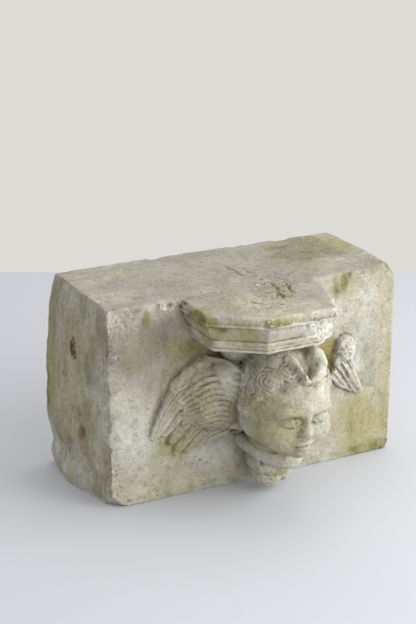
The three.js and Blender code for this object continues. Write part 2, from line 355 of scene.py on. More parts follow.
def sweep_paths(name: str, paths: list, outline: list) -> Thing:
    """Carries a section along paths and gives the result as a plain mesh.

    Args:
        name: The new object's name.
        paths: SweptPath items.
        outline: The section, as (across, out) points for a size of one millimetre.

    Returns:
        An object whose mesh holds one closed shell for each path.
    """
    places = [p for path in paths for p in path.places]
    edges = []
    base = 0
    for path in paths:
        count = len(path.places)
        edges += [(base + i, base + i + 1) for i in range(count - 1)]
        base += count
    mesh = bpy.data.meshes.new(name)
    mesh.from_pydata([tuple(c * MM for c in p) for p in places], edges, [])
    sizes = mesh.attributes.new("size", "FLOAT", "POINT")
    sizes.data.foreach_set("value", [s for path in paths for s in path.sizes])
    leans = mesh.attributes.new("lean", "FLOAT_VECTOR", "POINT")
    leans.data.foreach_set("vector", [c for path in paths for _ in path.places for c in path.lean])
    obj = add_object(name, mesh)
    shape = bpy.data.curves.new(name + "_section", "CURVE")
    shape.dimensions = "3D"
    spline = shape.splines.new("POLY")
    spline.points.add(len(outline) - 1)
    spline.points.foreach_set("co", [c for across, out in outline for c in (out, across, 0.0, 1.0)])
    spline.use_cyclic_u = True
    section = add_object(name + "_section", shape)
    modifier = obj.modifiers.new("sweep", "NODES")
    modifier.node_group = sweep_tree()
    wanted = {"Section": section, "Scale": MM}
    for item in modifier.node_group.interface.items_tree:
        if item.item_type == "SOCKET" and item.in_out == "INPUT" and item.name in wanted:
            modifier[item.identifier] = wanted[item.name]
    settle(obj)
    face_outwards(obj)
    bpy.data.objects.remove(section)
    return obj


# The carved forms

@dataclass
class Block:
    """The squared block, swollen at its rough left end."""

    swell_heights: tuple = (0, 12, 32, 46, 64, 92, 110, 156, 180, 202, 226, 243)
    swell_sizes: tuple = (15, 17, 12, 16, 20, 20, 18, 15, 12, 9, 5, 0)
    swell_full_y: float = 20.0
    fall_y: float = 45.0
    fall: float = 0.12
    depth_steps: int = 22
    height_steps: int = 40

    def swell(self, y: Array, z: Array) -> Array:
        """How far the left end stands out at each place on it."""
        share = ramp(y, FACE_Y, self.swell_full_y) * (1.0 - self.fall * ramp(y, self.fall_y, BACK_Y))
        return share * np.interp(z, self.swell_heights, self.swell_sizes)

    def build(self) -> Thing:
        """Makes the block as stacked plan outlines and knocks its lost corners off."""
        depths = np.linspace(FACE_Y, BACK_Y, self.depth_steps)
        rings = []
        for z in np.linspace(BLOCK_LOW_Z, BLOCK_TOP_Z, self.height_steps):
            out = self.swell(depths, np.full(len(depths), z))
            ring = [(RIGHT_X, BACK_Y, z), (RIGHT_X, FACE_Y, z)]
            ring += [(-RIGHT_X - s, y, z) for s, y in zip(out, depths)]
            rings.append(ring)
        block = ring_skin("block", rings)
        for knock in KNOCKS:
            carve_out(block, knock.cutter())
        return block


@dataclass(frozen=True)
class Knock:
    """A hollow knocked out of a corner: the corner, the way out of it, its depth and its roundness."""

    corner: tuple
    outward: tuple
    depth: float
    radius: float
    squash: tuple = (1.0, 0.93, 1.06)

    def cutter(self) -> Thing:
        """A ball that takes the hollow out."""
        way = np.array(self.outward) / np.linalg.norm(self.outward)
        centre = np.array(self.corner) + way * (self.radius - self.depth)
        return lump("knock", tuple(centre), tuple(self.radius * share for share in self.squash))


# Where corners and edges were knocked off, and the two notches in the front edge.
KNOCKS = (
    Knock((RIGHT_X, FACE_Y, BLOCK_TOP_Z), (0.53, -0.36, 0.77), 10.0, 75.0),
    Knock((RIGHT_X, FACE_Y + 22, BLOCK_TOP_Z), (0.62, 0.1, 0.78), 4.0, 22.0),
    Knock((RIGHT_X, FACE_Y, BLOCK_LOW_Z), (0.66, -0.45, -0.6), 4.5, 40.0),
    Knock((RIGHT_X, FACE_Y, BLOCK_LOW_Z + 62), (0.7, -0.7, 0.0), 1.6, 30.0),
    Knock((-RIGHT_X, FACE_Y, BLOCK_LOW_Z), (-0.5, -0.38, -0.78), 9.5, 90.0),
    Knock((-RIGHT_X, FACE_Y, BLOCK_LOW_Z + 78), (-0.75, -0.65, 0.0), 3.0, 16.0),
    Knock((-RIGHT_X - 14, BACK_Y, BLOCK_LOW_Z), (-0.6, 0.6, -0.52), 9.0, 60.0),
    Knock((-125, FACE_Y, BLOCK_TOP_Z), (0.1, -0.7, 0.7), 4.2, 26.0),
    Knock((-156, FACE_Y, BLOCK_TOP_Z), (0.0, -0.75, 0.66), 1.8, 34.0),
    Knock((120, FACE_Y, BLOCK_TOP_Z - 5), (0.1, -0.95, 0.3), 4.5, 7.5),
    Knock((107, FACE_Y, BLOCK_TOP_Z - 22), (0.0, -1.0, 0.0), 2.6, 7.0),
    Knock((60, BACK_Y, BLOCK_TOP_Z), (0.0, 0.7, 0.7), 2.2, 90.0),
    Knock((150, BACK_Y, BLOCK_TOP_Z), (0.0, 0.7, 0.7), 3.0, 60.0),
)


@dataclass
class Cap:
    """The half-octagonal cap, whose moulding runs round its outline."""

    front_half: float = 42.0
    half_width: float = 99.5
    front_y: float = FACE_Y - 104.0
    return_y: float = FACE_Y - 62.0
    height: float = 46.0
    seat: float = 6.0
    profile: tuple = (
        (1.5, 0), (0, 2), (0, 8), (1, 9), (-2.2, 10), (-2.2, 12), (1.2, 13.2), (2.4, 17), (4.2, 22), (7, 27),
        (8.2, 29.6), (11, 31), (8.5, 32.6), (8.8, 35.6), (10.4, 36.6), (9.2, 37.6), (9.4, 39.6), (12, 41),
        (10, 42.6), (11, 45), (13, 46),
    )
    lines: tuple = (9, 31, 36.6, 41)
    line_half: float = 1.1
    lost_end: tuple = (
        (37, -230), (42, -184), (46, -168), (56, -150), (60, -136), (66, -119), (69, -100), (74, -80),
        (74, -60), (140, -60), (140, -230),
    )
    lost_corner: tuple = ((9, -230), (9, -183), (20, -175), (33, -170), (44, -158), (70, -146), (70, -230))
    past: float = 10.0

    def outline(self, inset: float) -> list:
        """The cap's plan outline, set in by a given amount, from the wall round to the wall."""
        run = self.half_width - self.front_half
        fall = self.return_y - self.front_y
        side = self.half_width - inset
        front = self.front_y + inset
        line = self.front_half * fall - self.front_y * run - inset * math.hypot(run, fall)
        front_x = (line + front * run) / fall
        side_y = (side * fall - line) / run
        right = [(front_x, front), (side, side_y), (side, FACE_Y + self.seat)]
        return [(-x, y) for x, y in reversed(right)] + right

    def build(self) -> Thing:
        """Stacks the moulding's outlines and breaks the right end off."""
        rings = []
        for inset, drop in self.profile:
            rings.append([(x, y, BLOCK_TOP_Z - drop) for x, y in self.outline(inset)])
        cap = ring_skin("cap", rings)
        for outline, top in self.lost():
            heights = (BLOCK_TOP_Z - self.height - self.past, top)
            carve_out(cap, ring_skin("lost", [[(x, y, z) for x, y in outline] for z in heights]))
        return cap

    def lost(self) -> list:
        """Plan outlines of what broke away, with the height that each reaches."""
        return [(self.lost_end, BLOCK_TOP_Z + self.past), (self.lost_corner, BLOCK_TOP_Z - self.past)]

    def moulding_lines(self, p: Array) -> Array:
        """How much each place lies in one of the thin quirks of the moulding."""
        drop = BLOCK_TOP_Z - p[:, 2]
        shares = [np.clip(1.0 - ((drop - line) / self.line_half) ** 2, 0.0, 1.0) for line in self.lines]
        return np.maximum.reduce(shares)


@dataclass(frozen=True)
class Curl:
    """A rolled curl on the head: where it sits, in degrees, its size and the pitch of its strands."""

    turn: float
    rise: float
    radius: float
    pitch: float

    @property
    def hand(self) -> int:
        """Which way the curl winds."""
        return 1 if self.turn > 0 else -1

    def axes(self) -> tuple:
        """The ways across the curl, up it and out of the head."""
        yaw, lift = math.radians(self.turn), math.radians(self.rise)
        out = np.array([math.sin(yaw) * math.cos(lift), math.cos(yaw) * math.cos(lift), math.sin(lift)])
        across = np.cross((0, 0, 1), out)
        across /= np.linalg.norm(across)
        return across, np.cross(out, across), out


@dataclass
class Head:
    """A child's head of the carver's usual pattern, bowed a little, with curls round the face."""

    centre: tuple = (-1.0, -143.0, 125.0)
    bow: float = math.radians(7.0)
    reach: float = 95.0
    crowding: float = 1.45
    around: int = 300
    rings: int = 230
    masses: tuple = (
        ((0, -4, 14), (46, 52, 46), 6), ((0, 10, -13), (41, 41, 46), 14), ((0, 21, 22), (38, 32, 29), 14),
        ((0, 39, -42), (12, 11, 11), 10), ((-22, 29, -20), (20, 20, 19), 14),
        ((22, 29, -20), (20, 20, 19), 14), ((-17, 44.5, 12), (15, 7, 4.5), 9),
        ((17, 44.5, 12), (15, 7, 4.5), 9), ((0, 52, 4), (4.5, 6, 11), 5),
        ((0, 56, -11), (7, 8, 7), 5), ((-6, 54, -14), (4, 5, 4), 2), ((6, 54, -14), (4, 5, 4), 2),
        ((-4.5, 50, -28), (7, 5.5, 3.2), 2.5), ((4.5, 50, -28), (7, 5.5, 3.2), 2.5),
        ((0, 49, -34.5), (9, 6, 3.8), 2),
    )
    socket: tuple = ((18, 55, 2), (11, 9, 6.5))
    socket_soft: float = 5.0
    eye: tuple = ((18, 45.5, 1), (9, 7, 5.5))
    lids: tuple = (
        (((9, 51, 1), (14, 53, 5.5), (21, 52, 5.5), (28, 46, 0.5)), 1.3, 1.1),
        (((9, 51, 0), (15, 52, -4), (21, 51, -4), (28, 46, -0.5)), 1.0, 0.8),
    )
    lid_soft: float = 1.5
    mouth: tuple = ((0, 57, -31.4), (10, 5, 1.1))
    mouth_soft: float = 1.2
    hair_masses: tuple = (
        ((1, -8, 24), (45, 44, 54)), ((-16, -18, -22), (29, 34, 33)), ((18, -18, -22), (26, 34, 33)),
    )
    hair_soft: float = 18.0
    brow_soft: float = 10.0
    hairline: tuple = ((-60, -20, 0, 15, 33, 48, 60), (-26, -8, 5, 19, 31, 38, 46))
    curls: tuple = (
        Curl(-31, 60, 11, 4.2), Curl(-57, 43, 17, 4.4), Curl(-62, 68, 12, 4.2), Curl(-87, 54, 13, 4.4),
        Curl(-84, 27, 12, 4.0), Curl(-68, 20, 11, 4.0), Curl(-93, 8, 9, 3.8), Curl(-76, 0, 9, 3.8),
        Curl(-86, -11, 9, 3.8), Curl(-108, 34, 14, 4.6), Curl(-112, -4, 11, 4.0), Curl(62, 58, 15, 4.8),
        Curl(66, 30, 15, 4.8), Curl(78, 4, 12, 4.2), Curl(88, -16, 10, 3.8), Curl(100, 38, 14, 4.6),
        Curl(106, 10, 12, 4.2),
    )
    left_lock: tuple = ((-14, 24, 69), (-11, 34, 68), (-9, 43, 63), (-5, 48, 56), (-2, 49, 49))
    right_lock: tuple = ((20, 26, 67), (22, 34, 60), (18, 41, 54), (11, 46, 50), (5, 48, 48))
    cast_steps: int = 20
    tuft_steps: int = 16

    def distance(self, p: Array) -> Array:
        """Signed distance to the bare head and its hair mass, in the head's frame."""
        folded = np.column_stack([np.abs(p[:, 0]), p[:, 1], p[:, 2]])
        total = np.full(len(p), FAR)
        for centre, radii, soft in self.masses:
            total = soft_union(total, to_ellipsoid(p, centre, radii), soft)
        total = -soft_union(-total, to_ellipsoid(folded, *self.socket), self.socket_soft)
        total = soft_union(total, to_ellipsoid(folded, *self.eye), self.lid_soft)
        for route, thick, thin in self.lids:
            total = soft_union(total, to_lock(folded, route, thick, thin), self.lid_soft)
        total = -soft_union(-total, to_ellipsoid(p, *self.mouth), self.mouth_soft)
        hair = np.full(len(p), FAR)
        for centre, radii in self.hair_masses:
            hair = soft_union(hair, to_ellipsoid(p, centre, radii), self.hair_soft)
        return soft_union(total, hair, self.brow_soft)

    def hair_share(self, p: Array) -> Array:
        """How much a place on the head belongs to the hair, from 0 to 1."""
        front = np.interp(p[:, 2], *self.hairline) + 3.0 * lattice_noise(p, 11.0, SEED + 12)
        return ramp(front - p[:, 1], -4.0, 5.0)

    def hair_relief(self, aim: Array, p: Array) -> Array:
        """How far the curls stand out at each place, as rings of strands round the nearest curl's middle.

        Args:
            aim: Directions from the head's middle.
            p: The bare form's points, in the head's frame.
        """
        bent = p + 2.2 * (wander(p, 13.0, SEED + 2) + 0.5 * wander(p, 6.0, SEED + 6))
        nearest, second, phase = np.full(len(p), FAR), np.full(len(p), FAR), np.zeros(len(p))
        for curl in self.curls:
            across, up, out = curl.axes()
            away = bent - p[np.argmax(aim @ out)]
            x, y = away @ across + 0.3 * curl.hand * (away @ up), away @ up
            rho = np.sqrt(x * x + y * y + 0.5 * (away @ out) ** 2)
            reach = rho / curl.radius
            closer = reach < nearest
            second = np.where(closer, nearest, np.minimum(second, reach))
            turns = rho / curl.pitch - curl.hand * np.arctan2(y, x) / (2 * math.pi)
            phase = np.where(closer, turns, phase)
            nearest = np.where(closer, reach, nearest)
        strand = np.abs(np.sin(math.pi * phase)) ** 0.7
        kept = 0.5 + 0.7 * ramp(lattice_noise(p, 16.0, SEED + 10), -0.5, 0.4)
        dome = np.sqrt(np.clip(1.0 - np.clip(nearest, 0, 1.2) ** 2 / 1.6, 0.0, 1.0))
        border = ramp(second - nearest, 0.0, 0.22)
        relief = 3.8 * dome + 4.2 * kept * strand * ramp(1.8 - nearest, 0.0, 0.5) - 1.8 * (1 - border) - 2.2
        relief += 0.8 * lattice_noise(p, 9.0, SEED + 9)
        nape = ramp(-p[:, 2], 4.0, 26.0)
        plain = ramp(-p[:, 0], 24.0, 34.0) * ramp(p[:, 2], 46.0, 55.0)
        return self.hair_share(p) * (relief * (1.0 - 0.75 * np.maximum(nape, plain)))

    def tuft(self, p: Array) -> Array:
        """Signed distance to the two locks that fall over the brow."""
        left = to_lock(p, self.left_lock, 4.8, 2.8)
        right = to_lock(p, self.right_lock, 9.5, 3.6)
        strands = 0.9 * np.cos(p[:, 0] * 1.6 + 0.12 * p[:, 2] + 2.0 * lattice_noise(p, 12.0, SEED + 16))
        return np.minimum(left, right + strands)

    def cast(self, form: Callable, aim: Array, low: Array, steps: int) -> Array:
        """How far a form reaches along each direction, by halving the gap.

        Args:
            form: Gives the signed distance at places in the head's frame.
            aim: Directions from the head's middle.
            low: Lengths that are within the form, or that count where it isn't met.
            steps: How often the gap is halved.
        """
        high = np.full(len(aim), self.reach)
        for _ in range(steps):
            middle = (low + high) / 2
            inside = form(aim * middle[:, None]) < 0
            low, high = np.where(inside, middle, low), np.where(inside, high, middle)
        return low

    def build(self) -> Thing:
        """Casts a fine ball onto the head's form, along lines out of its middle."""
        ring = np.pi * (np.arange(1, self.rings) / self.rings) ** self.crowding
        turn = 2 * np.pi * np.arange(self.around) / self.around
        off, round_ = (grid.ravel() for grid in np.meshgrid(ring, turn, indexing="ij"))
        aim = np.column_stack([np.sin(off) * np.cos(round_), np.cos(off), np.sin(off) * np.sin(round_)])
        aim = np.vstack([[0, 1, 0], aim, [0, -1, 0]])
        bare = self.cast(self.distance, aim, np.zeros(len(aim)), self.cast_steps)
        haired = bare + self.hair_relief(aim, aim * bare[:, None])
        points = aim * self.cast(self.tuft, aim, haired, self.tuft_steps)[:, None]
        faces = []
        count, n = self.around, self.rings - 1
        for i in range(count):
            j = (i + 1) % count
            faces.append((0, 1 + j, 1 + i))
            faces.append((1 + n * count, 1 + (n - 1) * count + i, 1 + (n - 1) * count + j))
        grid = np.arange(n * count).reshape(n, count) + 1
        ahead = np.roll(grid, -1, axis=1)
        faces += np.column_stack([g.ravel() for g in (grid[:-1], ahead[:-1], ahead[1:], grid[1:])]).tolist()
        head = mesh_object("head", self.to_part(points), faces)
        face_outwards(head)
        return head

    def to_part(self, p: Array) -> Array:
        """Turns points of the head's frame into the part's frame."""
        x, y, z = p[:, 0], -p[:, 1], p[:, 2]
        c, s = math.cos(self.bow), math.sin(self.bow)
        return np.column_stack([x, y * c - z * s, y * s + z * c]) + np.array(self.centre)


@dataclass
class Wing:
    """One wing on the block's face: a rolled leading edge, and long feathers that sweep round inside it."""

    name: str
    edge: list
    edge_sizes: tuple
    lines: list
    wide: float
    root_proud: float
    tip_proud: float
    masses: tuple
    rim: tuple = ()
    arch_first: tuple = ()
    arch_last: tuple = ()
    backing: tuple = ()
    arch_count: int = 9
    arch_size: float = 4.5
    arch_sink: float = 0.36
    rim_scale: float = 1.4
    edge_rise: float = 1.15
    edge_proud: float = 2.0
    edge_steps: int = 40
    steps: int = 26

    def feather(self, line: list, share: float) -> SweptPath:
        """A feather's path, tapering to a rounded tip.

        Args:
            line: The feather's middle, as (x, z) places.
            share: 0 for the feather next to the leading edge, 1 for the innermost.
        """
        places = face_route(line, self.steps)
        t = np.linspace(0, 1, self.steps)
        sizes = self.wide * (1.0 - 0.15 * share) * (0.85 + 0.35 * t - 0.85 * t**6)
        proud = self.root_proud + (self.tip_proud - self.root_proud) * t
        places[:, 1] -= np.maximum(proud * (1 - 0.3 * share) - 0.5 * sizes, 0.5)
        return SweptPath(places.tolist(), sizes.tolist())

    def feather_lines(self) -> list:
        """The midlines of the feathers, for striations."""
        return [face_route(line, self.steps) for line in self.lines]

    def build(self) -> list:
        """Sweeps the leading edge and the feathers, over the mass that carries them."""
        last = max(len(self.lines) - 1, 1)
        feathers = [self.feather(line, i / last) for i, line in enumerate(self.lines)]
        hand = math.copysign(1.0, self.lines[0][-1][0] - self.lines[0][0][0])
        outline = [(a * -hand, b) for a, b in section_points(Section.FEATHER)]
        made = [sweep_paths(self.name + "_feathers", feathers, outline), self.leading_edge()]
        if self.rim:
            made.append(self.shoulder())
        carriers = self.masses + self.backing
        return made + [lump(self.name + "_mass", centre, radii) for centre, radii in carriers]

    def shoulder(self) -> Thing:
        """The roots of the feathers, ridges on the masses that arch over from beside the head."""
        rows = [(np.array(self.rim, dtype=float), self.rim_scale)]
        first, last = np.array(self.arch_first, dtype=float), np.array(self.arch_last, dtype=float)
        for share in np.linspace(0, 1, self.arch_count):
            rows.append((first + (last - first) * share, 1.0 - 0.2 * share))
        fine = np.linspace(0, 1, self.steps)
        paths = []
        for spots, scale in rows:
            places = face_route(spots, self.steps)
            sizes = self.arch_size * scale * (1.0 - 0.35 * fine)
            y = self.carried(places[:, 0], places[:, 2]) + self.arch_sink * sizes
            places[:, 1] = np.convolve(np.pad(y, 2, mode="edge"), np.ones(5) / 5, "valid")
            paths.append(SweptPath(places.tolist(), sizes.tolist()))
        return sweep_paths(self.name + "_shoulder", paths, section_points(Section.ROUND))

    def carried(self, x: Array, z: Array) -> Array:
        """How far forward the wing's masses reach at places on the block's face."""
        front = np.full(len(x), FACE_Y)
        for centre, radii in self.masses:
            inside = 1.0 - ((x - centre[0]) / radii[0]) ** 2 - ((z - centre[2]) / radii[2]) ** 2
            surface = centre[1] - radii[1] * np.sqrt(np.clip(inside, 0, 1))
            front = np.minimum(front, np.where(inside > 0, surface, FACE_Y))
        return front

    def leading_edge(self) -> Thing:
        """The roll that the feathers hang from."""
        places = face_route(self.edge, self.edge_steps)
        places[:, 1] -= self.edge_proud
        fine = np.linspace(0, 1, self.edge_steps)
        sizes = self.edge_sizes[0] + (self.edge_sizes[1] - self.edge_sizes[0]) * fine
        outline = [(a, b * self.edge_rise) for a, b in section_points(Section.ROUND)]
        return sweep_paths(self.name + "_edge", [SweptPath(places.tolist(), sizes.tolist())], outline)


@dataclass
class Collar:
    """The roll of cloth under the chin, with the neck and the bud below."""

    middle_x: float = 6.0
    half_width: float = 28.0
    reach: float = 71.0
    wall_z: float = 59.0
    sag: float = 8.0
    thick: float = 10.5
    sunk: float = 4.0
    steps: int = 36
    bud_centre: tuple = (0.0, -110.0, 28.0)
    bud_radii: tuple = (26.0, 32.0, 30.0)
    bud_lumps: tuple = (
        ((0, -106, 37), (25, 30, 19)), ((-4, -108, 25), (18, 22, 20)), ((11, -112, 25), (13, 18, 14)),
        ((-13, -116, 36), (11, 15, 13)), ((6, -127, 36), (12, 12, 9)), ((17, -118, 38), (10, 13, 11)),
    )
    neck_centre: tuple = (4.0, -104.0, 60.0)
    neck_radii: tuple = (30.0, 42.0, 25.0)

    def build(self) -> list:
        """Makes the roll, the neck and the bud."""
        turn = np.linspace(0, math.pi, self.steps)
        x = self.middle_x + np.cos(turn) * self.half_width
        y = FACE_Y + self.sunk - np.sin(turn) * self.reach
        places = np.column_stack([x, y, self.wall_z - self.sag * np.sin(turn)])
        path = SweptPath(places.tolist(), [self.thick] * self.steps, (0, 0, 1))
        roll = sweep_paths("collar", [path], section_points(Section.ROUND))
        bud = [lump("bud", centre, radii) for centre, radii in self.bud_lumps]
        return [roll, lump("neck", self.neck_centre, self.neck_radii)] + bud


LEFT_WING = Wing(
    name="left_wing",
    edge=[(-8, 126), (-29, 145), (-52, 157), (-76, 159), (-99, 147), (-118, 122), (-130, 99), (-138, 79)],
    edge_sizes=(13.0, 3.8),
    lines=[
        [(-40, 136), (-77, 139), (-103, 131), (-121, 111), (-135, 84)],
        [(-36, 124), (-67, 127), (-92, 121), (-112, 104), (-127, 82)],
        [(-34, 114), (-61, 115), (-84, 109), (-102, 94), (-117, 70)],
        [(-33, 104), (-58, 104), (-77, 96), (-95, 80), (-111, 55)],
        [(-32, 94), (-53, 95), (-69, 88), (-84, 77), (-97, 56)],
        [(-32, 85), (-49, 87), (-62, 82), (-74, 75), (-85, 60)],
        [(-33, 76), (-47, 78), (-58, 76), (-66, 72), (-73, 66)],
    ],
    wide=8.6,
    root_proud=19.0,
    tip_proud=8.0,
    masses=(
        ((-62, -79, 112), (58, 15, 42)), ((-84, -79, 138), (34, 14, 18)), ((-34, -90, 100), (16, 14, 30)),
        ((-62, -84, 122), (42, 29, 42)), ((-50, -100, 144), (24, 26, 26)),
    ),
    rim=((-28, 144), (-38, 156), (-51, 164), (-66, 167), (-82, 164), (-97, 154), (-110, 139)),
    arch_first=((-40, 100), (-38, 122), (-43, 140), (-56, 151), (-73, 152), (-90, 143), (-106, 126)),
    arch_last=((-47, 84), (-52, 91), (-60, 96), (-71, 97), (-82, 93), (-93, 86), (-103, 76)),
    backing=(((-28, -92, 184), (30, 30, 24)),),
)
RIGHT_WING = Wing(
    name="right_wing",
    edge=[(115, 153), (123, 144), (125, 132), (132, 110), (144, 87)],
    edge_sizes=(8.0, 4.0),
    lines=[
        [(116, 134), (126, 119), (135, 103), (145, 87)],
        [(110, 129), (120, 116), (130, 101), (139, 86)],
        [(104, 124), (113, 114), (123, 101), (131, 90)],
        [(98, 118), (106, 112), (114, 103.5), (122, 96)],
    ],
    wide=6.0,
    root_proud=7.5,
    tip_proud=5.0,
    masses=(
        ((119, -80, 147), (15, 13, 18)), ((110, -79, 136), (10, 8, 13)), ((114, -79, 121), (13, 6, 13)),
        ((127, -79, 106), (12, 5, 13)),
    ),
)


# The skin of stone

@dataclass
class StoneSkin:
    """Fuses the carved forms into one skin, and later thins it out."""

    voxel: float = 1.05
    triangles: int = 190000

    def fuse_forms(self, forms: list) -> Thing:
        """One closed skin over all the forms."""
        stone = fuse(NODE + "_skin", forms)
        remesh = stone.modifiers.new("skin", "REMESH")
        remesh.mode = "VOXEL"
        remesh.voxel_size = self.voxel * MM
        remesh.adaptivity = 0.0
        settle(stone)
        return stone

    def thin_out(self, stone: Thing) -> None:
        """Collapses edges where the skin is plain until few enough triangles are left."""
        stone.data.calc_loop_triangles()
        reduce = stone.modifiers.new("thin", "DECIMATE")
        reduce.ratio = self.triangles / len(stone.data.loop_triangles)
        settle(stone)


def read_rows(items: bpy.types.bpy_prop_collection, key: str, wide: int, kind: type = float) -> Array:
    """One property of every point or edge of a mesh, a row each."""
    values = np.empty(len(items) * wide, dtype=kind)
    items.foreach_get(key, values)
    return values.reshape(-1, wide)


def read_points(mesh: bpy.types.Mesh) -> Array:
    """The mesh's points in millimetres."""
    return read_rows(mesh.vertices, "co", 3) / MM


def read_normals(mesh: bpy.types.Mesh) -> Array:
    """The mesh's point normals."""
    return read_rows(mesh.vertex_normals, "vector", 3)


def write_points(mesh: bpy.types.Mesh, points: Array) -> None:
    """Writes points in millimetres back to the mesh."""
    mesh.vertices.foreach_set("co", (points * MM).ravel())
    mesh.update()


def averaged(values: Array, edges: Array, times: int, share: Array | float) -> Array:
    """Moves each point's row some way to the mean of its neighbours' rows, again and again."""
    count = len(values)
    degree = np.bincount(edges.ravel(), minlength=count).clip(1)
    result = np.array(values, dtype=float)
    weight = np.asarray(share)[:, None] if np.ndim(share) else share
    for _ in range(times):
        total = np.empty_like(result)
        for axis in range(result.shape[1]):
            column = result[:, axis]
            total[:, axis] = (np.bincount(edges[:, 0], column[edges[:, 1]], count)
                              + np.bincount(edges[:, 1], column[edges[:, 0]], count))
        result += weight * (total / degree[:, None] - result)
    return result


@dataclass(frozen=True)
class Mark:
    """A placed patch on the stone: its middle, its reach along x, y and z, and how strong it is."""

    centre: tuple
    reach: tuple
    strength: float
    fade: float = 0.75
    rim: float = 0.55
    past: float = 1.25
    pit_past: float = 1.3

    def share(self, p: Array, ragged: Array) -> Array:
        """How strongly each place lies in the patch, with a ragged rim.

        Args:
            p: Places in millimetres.
            ragged: A noise value at each place, which breaks the rim up.

        Returns:
            Values from 0 to the mark's strength.
        """
        k = offset(p, self.centre, self.reach)
        return self.strength * ramp(self.past - k + self.rim * ragged, 0.0, self.fade)

    def hollow(self, p: Array) -> Array:
        """How deep each place lies in the mark, taken as a pit, from 0 to 1."""
        return np.clip(self.pit_past - offset(p, self.centre, self.reach), 0, 1)


@dataclass(frozen=True)
class Gouge:
    """A tool or plough mark cut into a flat bed, as a line with a width and a depth."""

    start: tuple
    end: tuple
    wide: float
    deep: float
    span: tuple = (0.04, 0.96)

    def depth(self, p: Array) -> Array:
        """How deep the mark cuts at each place."""
        distance, t = to_segment(p, self.start, self.end)
        taper = np.sin(math.pi * np.clip(t, *self.span)) ** 0.5
        return self.deep * taper * np.clip(1.0 - (distance / (self.wide * taper)) ** 2, 0.0, 1.0)


def marks(*rows: tuple) -> tuple:
    """Marks from rows of seven numbers: the middle, the reach and the strength."""
    return tuple(Mark(row[:3], row[3:6], row[6]) for row in rows)


def gouges(*rows: tuple) -> tuple:
    """Gouges in the top bed from rows of six numbers: the ends in plan, the width and the depth."""
    return tuple(Gouge((*row[:2], BED_Z), (*row[2:4], BED_Z), row[4], row[5]) for row in rows)


BED_Z = 243.0

# Where each kind of mark lies: its middle, its reach along x, y and z, and its strength.
GREEN_MARKS = marks(
    (-143, -79, 226, 6, 10, 15, 1.0), (-150, -79, 238, 12, 8, 5, 0.6), (-128, -79, 234, 3, 8, 8, 0.6),
    (-97, -125, 232, 12, 36, 12, 0.8), (-85, -150, 226, 16, 18, 8, 0.5), (-40, -184, 237, 26, 8, 5, 0.8),
    (-84, -80, 186, 26, 12, 14, 0.5), (-110, -80, 66, 20, 12, 16, 0.6), (-86, -80, 58, 14, 10, 8, 0.4),
    (96, -79, 128, 12, 10, 22, 0.6), (170, -79, 6, 50, 12, 10, 0.7), (118, -79, 10, 30, 12, 8, 0.4),
    (186, -66, 236, 16, 26, 12, 0.8), (150, -79, 240, 30, 8, 6, 0.45), (-60, -79, 6, 90, 8, 8, 0.35),
    (50, -155, 224, 14, 26, 12, 0.4), (117, -79, 232, 7, 7, 14, 1.0), (106, -79, 220, 5, 6, 12, 0.7),
    (18, -96, 243, 30, 34, 5, 0.4), (4, -60, 243, 30, 20, 5, 0.3), (-16, -138, 26, 22, 12, 16, 0.4),
    (-204, -10, 100, 10, 14, 12, 0.6),
)
ALGAE_MARKS = marks(
    (150, -79, 36, 46, 8, 56, 0.9), (185, -79, 60, 26, 12, 90, 0.7), (150, -79, 4, 70, 12, 18, 0.9),
    (180, -79, 200, 30, 8, 60, 0.35), (118, -79, 225, 26, 8, 26, 0.6), (165, 30, 243, 60, 60, 8, 0.7),
    (-204, 66, 110, 14, 30, 80, 1.0), (-84, -80, 184, 46, 14, 26, 0.75), (-126, -79, 184, 48, 8, 38, 0.4),
    (-204, -10, 60, 14, 80, 60, 0.4), (-34, -190, 108, 36, 40, 40, 0.45), (-110, -84, 66, 34, 16, 26, 0.8),
    (-60, -84, 100, 60, 20, 40, 0.4), (-97, -125, 224, 16, 44, 22, 1.0), (-70, -160, 222, 30, 26, 20, 0.7),
    (-35, -184, 237, 34, 8, 7, 0.9), (0, -140, 28, 36, 34, 20, 0.7), (0, -130, 70, 50, 60, 10, 0.7),
    (-130, -79, 20, 70, 8, 34, 0.5), (-110, -79, 130, 16, 8, 60, 0.5), (30, -175, 150, 30, 30, 60, 0.25),
    (-20, -165, 120, 50, 50, 60, 0.8), (-70, -95, 120, 60, 30, 50, 0.6), (100, 0, 243, 60, 80, 6, 0.5),
    (-20, -110, 243, 60, 50, 6, 0.4), (-204, 0, 110, 14, 90, 110, 0.5),
)
OCHRE_MARKS = marks(
    (93, -79, 142, 18, 10, 26, 1.25), (102, -79, 156, 10, 10, 12, 0.9), (-54, -169, 223, 16, 18, 5, 0.5),
    (133, -79, 49, 4, 6, 34, 0.45), (-206, 74, 106, 10, 12, 34, 0.6), (-160, -79, 188, 18, 6, 18, 0.25),
    (0, -150, 58, 50, 44, 16, 0.35), (-202, 0, 100, 14, 80, 90, 0.3), (-198, 0, 196, 14, 80, 50, 0.4),
    (-148, -79, 168, 10, 6, 10, 0.35), (165, 30, 243, 22, 20, 5, 0.3), (120, -79, 205, 20, 6, 20, 0.2),
    (-6, -170, 156, 16, 20, 14, 0.3), (20, -180, 206, 30, 14, 6, 0.35),
)
